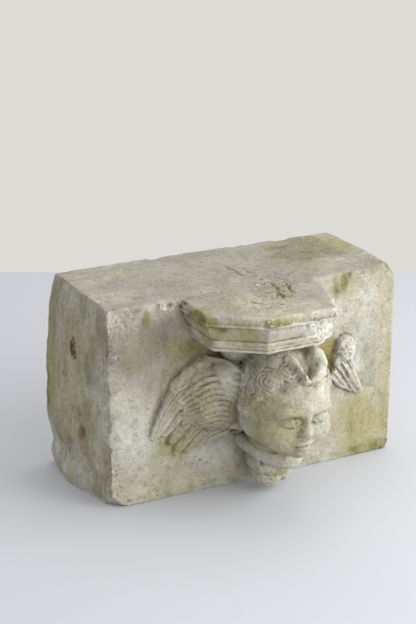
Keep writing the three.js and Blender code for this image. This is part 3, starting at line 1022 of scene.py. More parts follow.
# Pale marks; the three at (-52, -118, 156), (118, -86, 136) and (114, -95, 152) are painted highlight on the
# wings' shoulders.
PALE_AND_HIGHLIGHT_MARKS = marks(
    (-178, -79, 104, 18, 12, 52, 0.7), (-150, -79, 84, 26, 8, 40, 0.75), (-160, -79, 30, 34, 8, 34, 0.35),
    (-182, -79, 218, 12, 8, 24, 0.5), (-119, -79, 238, 7, 7, 5, 1.6), (-136, -79, 238, 5, 7, 6, 0.9),
    (22, -180, 222, 22, 14, 26, 0.85), (44, -160, 212, 16, 22, 20, 0.5), (-5, -184, 218, 46, 10, 16, 0.6),
    (-202, 20, 26, 14, 80, 26, 0.6), (-200, -56, 120, 14, 26, 90, 0.6), (-202, 0, 120, 14, 30, 60, 0.35),
    (0, -150, 58, 50, 44, 16, 0.55), (118, -86, 136, 24, 16, 34, 0.8), (-58, -79, 46, 32, 8, 22, 0.7),
    (4, -128, 34, 26, 22, 20, 0.35), (-52, -118, 156, 16, 18, 14, 0.9), (18, -186, 175, 14, 12, 16, 0.6),
    (8, -88, 243, 12, 20, 4, 0.9), (34, -100, 243, 8, 16, 4, 0.8), (22, -185, 165, 20, 20, 60, 0.4),
    (0, -160, 60, 44, 30, 14, 0.3), (114, -95, 152, 14, 16, 18, 0.5), (130, -79, 190, 50, 8, 36, 0.35),
    (118, -79, 196, 16, 8, 16, 0.5), (13, -60, 243, 18, 16, 4, 0.9), (20, -80, 243, 14, 10, 4, 0.9),
    (-53, -65, 243, 14, 10, 4, 0.9), (182, -60, 236, 12, 22, 10, 1.0),
)
# Soot marks; the two at (-120, -79, 140) and (-100, -79, 168) are painted shadow on the wall just outside
# the left wing's leading edge.
SOOT_AND_SHADOW_MARKS = marks(
    (-202, -23, 78, 12, 9, 12, 0.9), (-198, -32, 152, 12, 8, 26, 0.6), (-200, -30, 110, 12, 12, 20, 0.5),
    (-204, 26, 150, 12, 10, 40, 0.4), (-204, 6, 60, 12, 14, 16, 0.35), (-196, -48, 214, 10, 16, 24, 0.35),
    (-80, -90, 112, 36, 20, 22, 0.4), (-120, -79, 140, 9, 6, 34, 0.45), (-150, -79, 194, 40, 6, 34, 0.6),
    (-60, -114, 176, 14, 14, 7, 0.9), (-45, -126, 168, 10, 14, 8, 0.9), (-166, -79, 208, 26, 6, 26, 0.4),
    (-38, -95, 73, 6, 10, 6, 1.4), (-22, -186, 160, 13, 14, 12, 0.75), (-34, -150, 172, 18, 30, 10, 0.6),
    (96, -79, 128, 12, 8, 14, 0.5), (120, 10, 243, 70, 60, 6, 0.6), (-100, -79, 168, 24, 6, 12, 0.45),
    (-40, -172, 150, 16, 18, 26, 0.35), (150, 60, 243, 40, 30, 5, 0.55), (-195, 0, 230, 20, 80, 14, 0.3),
    (62, -90, 160, 20, 30, 50, 0.3), (160, -79, 130, 30, 6, 40, 0.25), (150, -79, 40, 46, 6, 50, 0.22),
)
RUST_MARKS = marks(
    (-201, 1, 178, 12, 8, 12, 0.8), (-201, -6, 170, 12, 5, 8, 0.75),
)
SCUFF_MARKS = marks(
    (10, -88, 243, 34, 46, 5, 1.0), (-22, -148, 243, 26, 12, 5, 0.8), (-50, -66, 243, 20, 14, 5, 0.7),
    (-166, -79, 226, 34, 8, 22, 0.6), (182, -50, 238, 22, 34, 14, 1.0), (-190, -79, 30, 14, 12, 40, 0.8),
    (-188, -79, 200, 12, 10, 30, 0.7), (-112, -80, 240, 20, 8, 8, 1.0), (40, -165, 218, 28, 30, 28, 0.8),
    (-150, -79, 2, 50, 8, 8, 0.7), (185, -79, 20, 14, 10, 30, 0.6), (114, -92, 148, 18, 16, 22, 1.3),
    (24, -60, 243, 40, 30, 5, 0.9),
)
PITS = marks(
    (-39, -95, 74, 5.5, 8.0, 5.5, 6.0), (-101, -86, 241, 4.0, 5.0, 4.0, 4.5),
    (-114, -80, 238, 5.0, 4.0, 4.0, 2.5), (-202, -23, 78, 6.0, 5.0, 7.0, 3.0),
    (-203, 20, 40, 6.0, 7.0, 7.0, 2.5), (-70, -86, 98, 2.4, 3.0, 2.4, 2.0),
    (-76, -79, 40, 2.0, 3.0, 2.0, 1.5),
)
PECK_MARKS = marks(
    (-165, -79, 226, 34, 8, 24, 0.6), (-186, -79, 120, 12, 10, 120, 0.7), (-110, -79, 236, 30, 8, 10, 0.8),
    (10, -75, 243, 34, 30, 5, 1.0), (-53, -65, 243, 18, 14, 5, 1.0), (-20, -184, 232, 50, 10, 14, 0.7),
    (35, -165, 215, 24, 26, 26, 0.9), (-70, -90, 130, 70, 20, 50, 0.35), (0, -140, 30, 30, 16, 26, 0.8),
    (185, -60, 235, 20, 40, 14, 0.8), (-10, -180, 150, 60, 50, 60, 0.3), (116, -90, 148, 18, 20, 24, 0.6),
    (-170, -79, 4, 60, 12, 12, 0.7),
)
DUST_MARKS = marks(
    (0, 0, 246, 260, 170, 12, 0.85), (-146, -79, 190, 60, 8, 46, 1.0), (-202, 0, 130, 16, 110, 150, 0.35),
    (-90, -88, 112, 50, 20, 50, 0.6), (-30, -170, 140, 34, 40, 60, 0.45), (-70, -160, 222, 50, 50, 10, 0.4),
)
BED_GOUGES = gouges(
    (6, 10, 20, -22, 1.8, 1.4), (28, -40, 44, -76, 2.2, 1.6), (10, -52, 30, -92, 2.6, 2.0),
    (-8, -96, 14, -110, 2.6, 1.8), (34, -96, 40, -124, 2.4, 1.6), (-60, -60, -40, -76, 3.0, 1.6),
    (20, -120, -2, -134, 2.2, 1.4), (2, 17, 5, -43, 2.2, 2.0), (15, -5, 19, -40, 2.0, 1.6),
    (36, -77, 24, -125, 3.0, 2.6), (-26, -145, -5, -155, 3.2, 2.2), (-42, -111, -20, -141, 2.6, 1.8),
    (24, -63, 3, -141, 3.4, 2.4), (30, -62, 8, -72, 3.5, 2.4), (14, -98, 2, -120, 3.0, 2.6),
    (-64, -128, -10, -160, 1.8, 1.2), (-118, -70, -60, -92, 1.6, 1.0),
)
TOOL_TURN = np.array(Matrix.Rotation(math.radians(38), 3, "Y"))


def marked(p: Array, placed: tuple, ragged: Array) -> Array:
    """The strongest of several marks at each place."""
    total = np.zeros(len(p))
    for mark in placed:
        total = np.maximum(total, mark.share(p, ragged))
    return total


def to_outline(p: Array, outline: tuple) -> Array:
    """Distance in plan from each place to a closed outline."""
    flat = p * np.array([1.0, 1.0, 0.0])
    nearest = np.full(len(p), FAR)
    for a, b in zip(outline, outline[1:] + outline[:1]):
        distance, _ = to_segment(flat, (*a, 0.0), (*b, 0.0))
        nearest = np.minimum(nearest, distance)
    return nearest


@dataclass
class Shelter:
    """How enclosed each place is by the stone round it, from a coarse count of solid cells; used to paint
    shade under the cap and between the parts.
    """

    cell: float = 3.0
    spread: int = 4
    ahead: float = 5.0
    step: float = 1e-5
    most: int = 40
    open_share: float = 0.40
    deep_share: float = 0.72

    def share(self, stone: Thing, p: Array, normal: Array) -> Array:
        """A mask from 0 in the open to 1 deep in a hollow.

        Args:
            stone: The skin.
            p: Its points, in millimetres.
            normal: Its point normals.
        """
        margin = self.cell * self.spread * 3
        low = p.min(axis=0) - margin
        size = np.ceil((p.max(axis=0) + margin - low) / self.cell).astype(int) + 1
        tree = BVHTree.FromObject(stone, bpy.context.evaluated_depsgraph_get())
        solid = np.zeros(size)
        depths = low[1] + self.cell * np.arange(size[1])
        for i in range(size[0]):
            for k in range(size[2]):
                start = Vector((low[0] + i * self.cell, low[1] - self.ahead, low[2] + k * self.cell)) * MM
                crossings = self.crossings(tree, start)
                for enter, leave in zip(crossings[::2], crossings[1::2]):
                    solid[i, (depths > enter) & (depths < leave), k] = 1.0
        for axis in (0, 1, 2):
            for _ in range(2):
                total = np.cumsum(solid, axis=axis)
                ahead = np.roll(total, -self.spread, axis=axis)
                behind = np.roll(total, self.spread + 1, axis=axis)
                solid = (ahead - behind) / (2 * self.spread + 1)
        at = (p + normal * self.cell - low) / self.cell
        corner = np.floor(at).astype(int)
        total = np.zeros(len(p))
        for shift, weight in cell_corners(at - corner):
            cell = corner + shift
            total += weight * solid[cell[:, 0], cell[:, 1], cell[:, 2]]
        return ramp(total, self.open_share, self.deep_share)

    def crossings(self, tree: BVHTree, start: Vector) -> list:
        """Depths, in millimetres, at which a line from front to back crosses the skin."""
        found = []
        way = Vector((0.0, 1.0, 0.0))
        here = start
        while len(found) < self.most:
            hit = tree.ray_cast(here, way)[0]
            if hit is None:
                break
            found.append(hit.y / MM)
            here = hit + way * self.step
        return found


@dataclass(frozen=True)
class Grain:
    """One of the stone's noise fields: its cell, its layers, its own seed, and how it is drawn out."""

    cell: float
    octaves: int
    seed: int
    drawn: tuple = (1.0, 1.0, 1.0)

    def at(self, p: Array) -> Array:
        """The noise at each place."""
        return fractal_noise(p * np.array(self.drawn), self.cell, self.octaves, SEED + self.seed)


@dataclass
class Surface:
    """The smoothed skin: its points and normals, and what is known at each point."""

    p: Array
    normal: Array
    convex: Array
    on_cap: Array
    ragged: Array
    coarse: Array

    @property
    def proud(self) -> Array:
        """How far each place stands out of the block's face."""
        return FACE_Y - self.p[:, 1]

    @property
    def edge(self) -> Array:
        """How much each place lies on an edge."""
        return ramp(self.convex, 0.25, 1.3)

    @property
    def end(self) -> Array:
        """How much each place lies on the rough left end."""
        return ramp(-self.p[:, 0], RIGHT_X - 4, RIGHT_X + 1) * ramp(-self.normal[:, 0], 0.1, 0.6)


@dataclass
class Weather:
    """What tools, knocks and years did to the skin of stone. Depths are in millimetres."""

    grain: float = 0.5
    end_rough: float = 3.2
    end_ragged: float = 0.7
    back_rough: float = 1.2
    back_tooled: float = 0.9
    break_rough: float = 4.2
    break_grit: float = 0.7
    arris_loss: float = 4.6
    edge_loss: float = 1.3
    chip_loss: float = 1.8
    pore_loss: float = 0.9
    knob_size: float = 0.22
    carved_knobs: float = 0.55
    shoulder_knobs: float = 1.1
    far_edge_loss: float = 3.2
    streak_size: float = 0.35
    crumb_size: float = 3.0
    crumb_ragged: float = 0.8
    scuff_loss: float = 1.8
    scuff_grit: float = 0.5
    barb_size: float = 0.26
    barb_wide: float = 3.6
    barb_slant: float = 80.0
    feather_half: float = 11.0
    crease_deep: float = 1.6
    crease_half: float = 8.0
    painted_wing_shadow_wide: float = 11.0
    ragged: Grain = Grain(14.0, 3, 0)
    coarse: Grain = Grain(34.0, 3, 7)
    fine: Grain = Grain(9.0, 3, 11)
    chips: Grain = Grain(11.0, 2, 17)
    pores: Grain = Grain(5.5, 2, 19)
    streaks: Grain = Grain(7.0, 3, 23, (0.16, 1.0, 1.0))
    crumbs: Grain = Grain(9.0, 3, 29)
    dressing: Grain = Grain(12.0, 3, 31, (1.0, 1.0, 0.3))
    arris: Grain = Grain(24.0, 3, 33, (1.0, 1.0, 0.7))
    scuffs: Grain = Grain(6.0, 3, 37)
    tooling: Grain = Grain(9.0, 3, 43, (0.25, 1.0, 1.0))
    knobs: Grain = Grain(6.5, 3, 61)
    shoulder: Grain = Grain(8.0, 3, 63)
    far_edge: Grain = Grain(30.0, 3, 65)

    def wear(self, stone: Thing) -> dict:
        """Moves the skin's points and works out the colour masks, painted shade and highlights among them.

        Args:
            stone: The fused skin.

        Returns:
            A mask from 0 to 1 for each named effect, one value a point.
        """
        mesh = stone.data
        edges = read_rows(mesh.edges, "vertices", 2, np.int32)
        s = self.survey(mesh, edges)
        broken, gouge, crease = self.broken(s), self.gouged(s), self.crease(s)
        pits = [hole.hollow(s.p) for hole in PITS]
        barb, feather = self.barbs(s.p)
        push = np.zeros(len(s.p))
        for layer in (*self.dressed(s), self.break_relief(s, broken), *self.edges_lost(s),
                      *self.carved_relief(s), self.far_edge_lost(s), *self.bed_relief(s, gouge),
                      *self.bud_and_scuffs(s)):
            push += layer
        for hole, hollow in zip(PITS, pits):
            push -= hole.strength * hollow
        push += feather * ((self.barb_size + 0.3 * s.ragged) * np.cos(2 * math.pi * barb) + 1.3 * s.ragged)
        push -= self.crease_deep * crease
        moved = s.p + s.normal * push[:, None]
        moved[:, 2] = np.maximum(moved[:, 2], BLOCK_LOW_Z)
        write_points(mesh, moved)
        worn, normal = read_points(mesh), read_normals(mesh)
        sunk = np.einsum("ij,ij->i", averaged(worn, edges, 4, 0.9) - worn, normal)
        pitted = ramp(np.maximum.reduce(pits), 0.3, 0.8)
        quirks = 0.7 * (s.on_cap * Cap().moulding_lines(s.p)) * ramp(s.ragged, -0.5, 0.4)
        grown = 0.7 * ramp(gouge, 0.3, 1.2) * ramp(s.ragged, -0.2, 0.3)
        return {
            # Dirt and painted shade: the broad hollows and the jaw's crease, darkened later.
            "hollow": np.maximum(ramp(-s.convex, 0.15, 1.3), crease),
            # Painted shade: how enclosed each place is, darkened later under the cap and between the parts.
            "shelter_shade": Shelter().share(stone, worn, normal),
            # Dirt and painted shade: the fine crevices, pits and the jaw's crease, darkened later.
            "crevice_dirt_and_shade": np.maximum.reduce([ramp(sunk, 0.03, 0.32), pitted, crease]),
            # Painted highlight: the fine crests of hair, feathers and mouldings, lightened later.
            "crest_highlight": ramp(-sunk, 0.04, 0.34),
            "bed": ramp(s.normal[:, 2], 0.6, 0.9),
            "end": s.end,
            "pecked": marked(s.p, PECK_MARKS, s.ragged),
            # Painted highlight on edges, and pale fresh stone on the broken faces, lightened later.
            "edge": np.maximum(s.edge, broken * 0.4),
            "green": np.clip(marked(s.p, GREEN_MARKS, s.ragged) + grown, 0, 1),
            "algae": marked(s.p, ALGAE_MARKS, 0.8 * s.coarse),
            "ochre": np.clip(marked(s.p, OCHRE_MARKS, s.ragged) + quirks, 0, 1),
            # Pale stone and fresh breaks, with painted highlight on the wings' shoulders.
            "pale": np.clip(np.maximum(marked(s.p, PALE_AND_HIGHLIGHT_MARKS, s.ragged), broken * 0.55), 0, 1),
            # Soot marks, and painted shadow as a dark band just outside the left wing's leading edge.
            "soot_and_shadow": np.clip(np.maximum(marked(s.p, SOOT_AND_SHADOW_MARKS, s.coarse), self.painted_wing_shadow(s.p) * 0.9), 0, 1),
            "dust": marked(s.p, DUST_MARKS, s.coarse),
            "rust": marked(s.p, RUST_MARKS, s.ragged),
            "barb": barb,
            "feather": feather,
        }

    def survey(self, mesh: bpy.types.Mesh, edges: Array) -> Surface:
        """Smooths the skin, the cap's crisp moulding least, and reads what the wear depends on."""
        p = read_points(mesh)
        on_cap = (p[:, 1] < FACE_Y - 1.5) & (p[:, 2] > BLOCK_TOP_Z - Cap().height - 1)
        p = averaged(p, edges, 2, np.where(on_cap, 0.2, 0.5))
        write_points(mesh, p)
        normal = read_normals(mesh)
        convex = np.einsum("ij,ij->i", p - averaged(p, edges, 16, 0.9), normal)
        return Surface(p, normal, convex, on_cap, self.ragged.at(p), self.coarse.at(p))

    def dressed(self, s: Surface) -> list:
        """The stone's own grain, the rough left end, and the tooled back."""
        back = ramp(s.p[:, 1], BACK_Y - 4, BACK_Y + 1) * ramp(s.normal[:, 1], 0.3, 0.8)
        end = self.end_rough * (s.coarse - 0.2) + self.dressing.at(s.p)
        end += self.end_ragged * s.ragged
        tooled = self.tooling.at(s.p @ TOOL_TURN)
        return [self.grain * self.fine.at(s.p), s.end * end,
                back * (self.back_rough * (s.coarse - 0.4) + self.back_tooled * tooled)]

    def broken(self, s: Surface) -> Array:
        """How much each place lies on a face where the cap broke."""
        share = np.zeros(len(s.p))
        for outline, top in Cap().lost():
            here = s.on_cap & (s.p[:, 2] < top + 2) & (s.p[:, 0] > 0)
            close = ramp(4.0 - to_outline(s.p[here], outline), 0.0, 2.0)
            close *= ramp(0.85 - np.abs(s.normal[here, 2]), 0.0, 0.4)
            share[here] = np.maximum(share[here], close)
        return share

    def break_relief(self, s: Surface, broken: Array) -> Array:
        """The facets and the grit of the broken faces."""
        facets = np.abs(lattice_noise(s.p, 17.0, SEED + 13))
        facets += 0.5 * np.abs(lattice_noise(s.p, 6.5, SEED + 14))
        grit = self.break_grit * lattice_noise(s.p, 3.0, SEED + 15)
        return broken * (self.break_rough * (0.5 - facets) + grit)

    def edges_lost(self, s: Surface) -> list:
        """The loss at the left arris, the worn edges, their chips, and open pores."""
        arris = ramp(-s.p[:, 0], RIGHT_X - 14, RIGHT_X - 3) * ramp(-s.p[:, 1], -FACE_Y - 14, -FACE_Y - 3)
        keen = np.where(s.on_cap, 0.3, 1.0)
        worn = 0.35 + 0.9 * np.clip(s.ragged + 0.3, 0.0, 1.2)
        return [-arris * self.arris_loss * ramp(self.arris.at(s.p), -0.1, 0.8),
                -keen * s.edge * self.edge_loss * worn,
                -keen * s.edge * ramp(self.chips.at(s.p), 0.35, 0.7) * self.chip_loss,
                -self.pore_loss * ramp(self.pores.at(s.p), 0.62, 0.95) * (s.normal[:, 2] < 0.95)]

    def carved_relief(self, s: Surface) -> list:
        """The roughness of the carving, most on the right wing's shoulder."""
        carved = ramp(s.proud, 4.0, 10.0) * (1.0 - s.on_cap)
        shoulder = carved * ramp(s.p[:, 0], 92.0, 100.0) * ramp(s.p[:, 2], 120.0, 134.0)
        knobs = self.knob_size + self.carved_knobs * carved * ramp(s.ragged, -0.8, 0.4)
        return [knobs * self.knobs.at(s.p), self.shoulder_knobs * shoulder * self.shoulder.at(s.p)]

    def far_edge_lost(self, s: Surface) -> Array:
        """The loss along the top edge at the back."""
        share = ramp(s.p[:, 1], BACK_Y - 12, BACK_Y - 3) * ramp(s.p[:, 2], BLOCK_TOP_Z - 12, BLOCK_TOP_Z - 3)
        return -self.far_edge_loss * share * ramp(self.far_edge.at(s.p), -0.1, 0.7)

    def on_bed(self, s: Surface) -> Array:
        """Which places lie on the top bed."""
        return (s.p[:, 2] > BLOCK_TOP_Z - 2) & (s.normal[:, 2] > 0.7)

    def gouged(self, s: Surface) -> Array:
        """How deep the gouges in the top bed cut."""
        gouge = np.zeros(len(s.p))
        bed = self.on_bed(s)
        bent = s.p[bed] + 2.6 * wander(s.p[bed], 13.0, SEED + 51) + 1.2 * s.ragged[bed, None]
        worn = 0.4 + 0.6 * ramp(s.ragged[bed], -0.5, 0.5)
        for cut in BED_GOUGES:
            gouge[bed] = np.maximum(gouge[bed], worn * cut.depth(bent))
        return gouge

    def bed_relief(self, s: Surface, gouge: Array) -> list:
        """The streaks of tooling along the top bed, and its gouges."""
        return [self.on_bed(s) * self.streak_size * self.streaks.at(s.p), -gouge]

    def bud_and_scuffs(self, s: Surface) -> list:
        """The crumbled front of the bud, and the scuffed patches."""
        bud = Collar()
        crumble = ramp(1.35 - offset(s.p, bud.bud_centre, bud.bud_radii), 0.0, 0.2)
        crumble *= ramp(-s.p[:, 1], 112, 124) * ramp(58 - s.p[:, 2], 0, 10)
        crumbs = self.crumb_size * (0.4 - np.abs(self.crumbs.at(s.p))) + self.crumb_ragged * s.ragged
        grit = self.scuff_grit * np.abs(lattice_noise(s.p, 2.6, SEED + 38))
        scuffed = marked(s.p, SCUFF_MARKS, s.ragged) * (self.scuff_loss * np.abs(self.scuffs.at(s.p)) + grit)
        return [crumble * crumbs, -scuffed]

    def crease(self, s: Surface) -> Array:
        """The sharp fold between the jaw and the roll of cloth under it, cut in and darkened as painted
        shade.
        """
        collar = Collar()
        out = np.clip(s.proud / collar.reach, 0.0, 1.0)
        height = collar.wall_z + collar.thick * 0.8 - collar.sag * out
        near = np.clip(1.0 - ((s.p[:, 2] - height) / self.crease_half) ** 2, 0.0, 1.0)
        near *= ramp(s.proud, 3.0, 8.0)
        return near * ramp(-s.convex, 0.0, 0.6) * (np.abs(s.p[:, 0]) < 60.0)

    def painted_wing_shadow(self, p: Array) -> Array:
        """The painted shadow on the wall just outside the left wing's leading edge, as a dark band."""
        spots = [(x, 0, z) for x, z in LEFT_WING.edge[1:]]
        sizes = np.linspace(*LEFT_WING.edge_sizes, len(spots))
        outside = np.full(len(p), FAR)
        here = p * np.array([1.0, 0.0, 1.0])
        for start, end, size in zip(spots, spots[1:], sizes):
            outside = np.minimum(outside, to_segment(here, start, end)[0] - size)
        band = ramp(outside, -3.0, 0.5) * ramp(self.painted_wing_shadow_wide - outside, 0.0, 10.0)
        on_wall = (p[:, 1] < FACE_Y + 3) & (p[:, 1] > FACE_Y - 3)
        return band * on_wall * ramp(p[:, 2], 70.0, 110.0)

    def barbs(self, p: Array) -> tuple[Array, Array]:
        """The count of barbs across each feather, and how much a place lies on a feather."""
        barb, share = np.zeros(len(p)), np.zeros(len(p))
        flat = np.array([1.0, 0.0, 1.0])
        for wing in (LEFT_WING, RIGHT_WING):
            lines = [line * flat for line in wing.feather_lines()]
            spots = np.concatenate(lines)
            low, high = spots.min(axis=0) - 12.0, spots.max(axis=0) + 12.0
            near = (p[:, 1] < FACE_Y - 2.0) & (p[:, 1] > FACE_Y - 28.0)
            near &= np.all(((p > low) & (p < high)) | [False, True, False], axis=1)
            here = p[near] * flat
            best, count = np.full(len(here), FAR), np.zeros(len(here))
            for line in lines:
                run = 0.0
                for a, b in zip(line[:-1], line[1:]):
                    distance, t = to_segment(here, a, b)
                    length = float(np.linalg.norm(b - a))
                    along = distance / self.barb_wide + (run + t * length) / self.barb_slant
                    count = np.where(distance < best, along, count)
                    best = np.minimum(best, distance)
                    run += length
            barb[near] = count
            share[near] = ramp(self.feather_half - best, 0.0, 4.0)
            share[near] *= ramp(-p[near, 1], -FACE_Y + 2.0, -FACE_Y + 5.0)
        return barb, share


def carry_masks(stone: Thing, masks: dict, places: Array) -> None:
    """Writes each mask as a point attribute, from the nearest place where it is known."""
    tree = KDTree(len(places))
    for i, place in enumerate(places):
        tree.insert(place, i)
    tree.balance()
    nearest = np.array([tree.find(q)[1] for q in read_points(stone.data)])
    for name, values in masks.items():
        layer = stone.data.attributes.new(name, "FLOAT", "POINT")
        layer.data.foreach_set("value", values[nearest].astype(np.float32))


# Finishes

@dataclass(frozen=True)
class Speckle:
    """A noise in the stone's colour: how fine it is, its layers and its roughness."""

    scale: object
    detail: float
    rough: float


class NodeKit:
    """Short ways to make and join nodes in one tree."""

    def __init__(self, tree: bpy.types.NodeTree) -> None:
        """Keeps the tree."""
        self.tree = tree

    def node(self, kind: str, **settings: object) -> bpy.types.Node:
        """A new node with its properties set."""
        made = self.tree.nodes.new(kind)
        for key, value in settings.items():
            setattr(made, key, value)
        return made

    def feed(self, node: bpy.types.Node, **values: object) -> None:
        """Sets a node's sockets to constants or links them, by their names with _ for each space."""
        for key, value in values.items():
            self.put(node.inputs[key.replace("_", " ")], value)

    def put(self, socket: Socket, value: object) -> None:
        """Sets one socket to a constant or links it."""
        if isinstance(value, Socket):
            self.tree.links.new(value, socket)
        else:
            socket.default_value = value

    def chain(self, made: bpy.types.Node, values: tuple, first: int = 0) -> None:
        """Feeds a node's sockets in order, from a given one on."""
        for i, value in enumerate(values):
            self.put(made.inputs[first + i], value)

    def math(self, operation: str, a: object, b: object = 0.0, clamp: bool = False) -> Socket:
        """The result of a calculation on two values."""
        made = self.node("ShaderNodeMath", operation=operation, use_clamp=clamp)
        self.chain(made, (a, b))
        return made.outputs[0]

    def times(self, a: object, b: object, clamp: bool = False) -> Socket:
        """One value times another."""
        return self.math("MULTIPLY", a, b, clamp)

    def plus(self, a: object, b: object) -> Socket:
        """One value and another."""
        return self.math("ADD", a, b)

    def mix(self, share: object, a: object, b: object) -> Socket:
        """One colour mixed into another."""
        made = self.node("ShaderNodeMix", data_type="RGBA")
        self.put(made.inputs[0], share)
        self.chain(made, (a, b), 6)
        return made.outputs[2]

    def lay(self, under: object, share: object, amount: float, tint: tuple,
            clamp: bool = False) -> Socket:
        """A tint laid over a colour, where it has its share and by the given amount."""
        return self.mix(self.times(share, amount, clamp), under, tint)

    def remap(self, value: object, low: float, high: float, to_low: float = 0.0,
              to_high: float = 1.0) -> Socket:
        """A value moved smoothly from one range into another."""
        made = self.node("ShaderNodeMapRange", interpolation_type="SMOOTHSTEP")
        self.chain(made, (value, low, high, to_low, to_high))
        return made.outputs[0]

    def noise(self, place: object, speckle: Speckle) -> Socket:
        """A noise value at a place."""
        made = self.node("ShaderNodeTexNoise")
        self.feed(made, Vector=place, Scale=speckle.scale, Detail=speckle.detail, Roughness=speckle.rough)
        return made.outputs["Fac"]

    def drawn(self, place: object, scale: tuple) -> Socket:
        """Places scaled along each axis, so that noise there is drawn out."""
        made = self.node("ShaderNodeMapping")
        self.feed(made, Vector=place, Scale=scale)
        return made.outputs["Vector"]

    def mask(self, name: str) -> Socket:
        """One of the stone's own masks."""
        return self.node("ShaderNodeAttribute", attribute_name=name).outputs["Fac"]


def growth_group() -> bpy.types.ShaderNodeTree:
    """A layer that spreads over the stone where its mask lies, in spots at its rim.

    Returns:
        A group with the inputs Place, Under, Mask, Colour, Deep colour, Spot scale, Raggedness and
        Cover, and the output Colour.
    """
    name = "stone_growth"
    if name in bpy.data.node_groups:
        return bpy.data.node_groups[name]
    tree = bpy.data.node_groups.new(name, "ShaderNodeTree")
    for label, kind in (("Place", "Vector"), ("Under", "Color"), ("Mask", "Float"), ("Colour", "Color"),
                        ("Deep colour", "Color"), ("Spot scale", "Float"), ("Raggedness", "Float"),
                        ("Cover", "Float")):
        tree.interface.new_socket(label, in_out="INPUT", socket_type="NodeSocket" + kind)
    tree.interface.new_socket("Colour", in_out="OUTPUT", socket_type="NodeSocketColor")
    kit = NodeKit(tree)
    given = kit.node("NodeGroupInput").outputs
    spots = kit.noise(given["Place"], Speckle(given["Spot scale"], 6.0, 0.65))
    broken = kit.plus(given["Mask"], kit.times(kit.math("SUBTRACT", spots, 0.5), given["Raggedness"]))
    present = kit.times(kit.remap(broken, 0.12, 0.95), kit.times(given["Mask"], 3.0, True))
    share = kit.times(present, given["Cover"], True)
    tint = kit.mix(kit.remap(spots, 0.42, 0.68), given["Colour"], given["Deep colour"])
    kit.feed(kit.node("NodeGroupOutput"), Colour=kit.mix(share, given["Under"], tint))
    return tree


@dataclass(frozen=True)
class Growth:
    """One layer of growth or staining on the stone; the soot layer also carries painted shadow."""

    mask: str
    colour: tuple
    deep: tuple
    spots: float
    ragged: float
    cover: float
    runs: bool = False


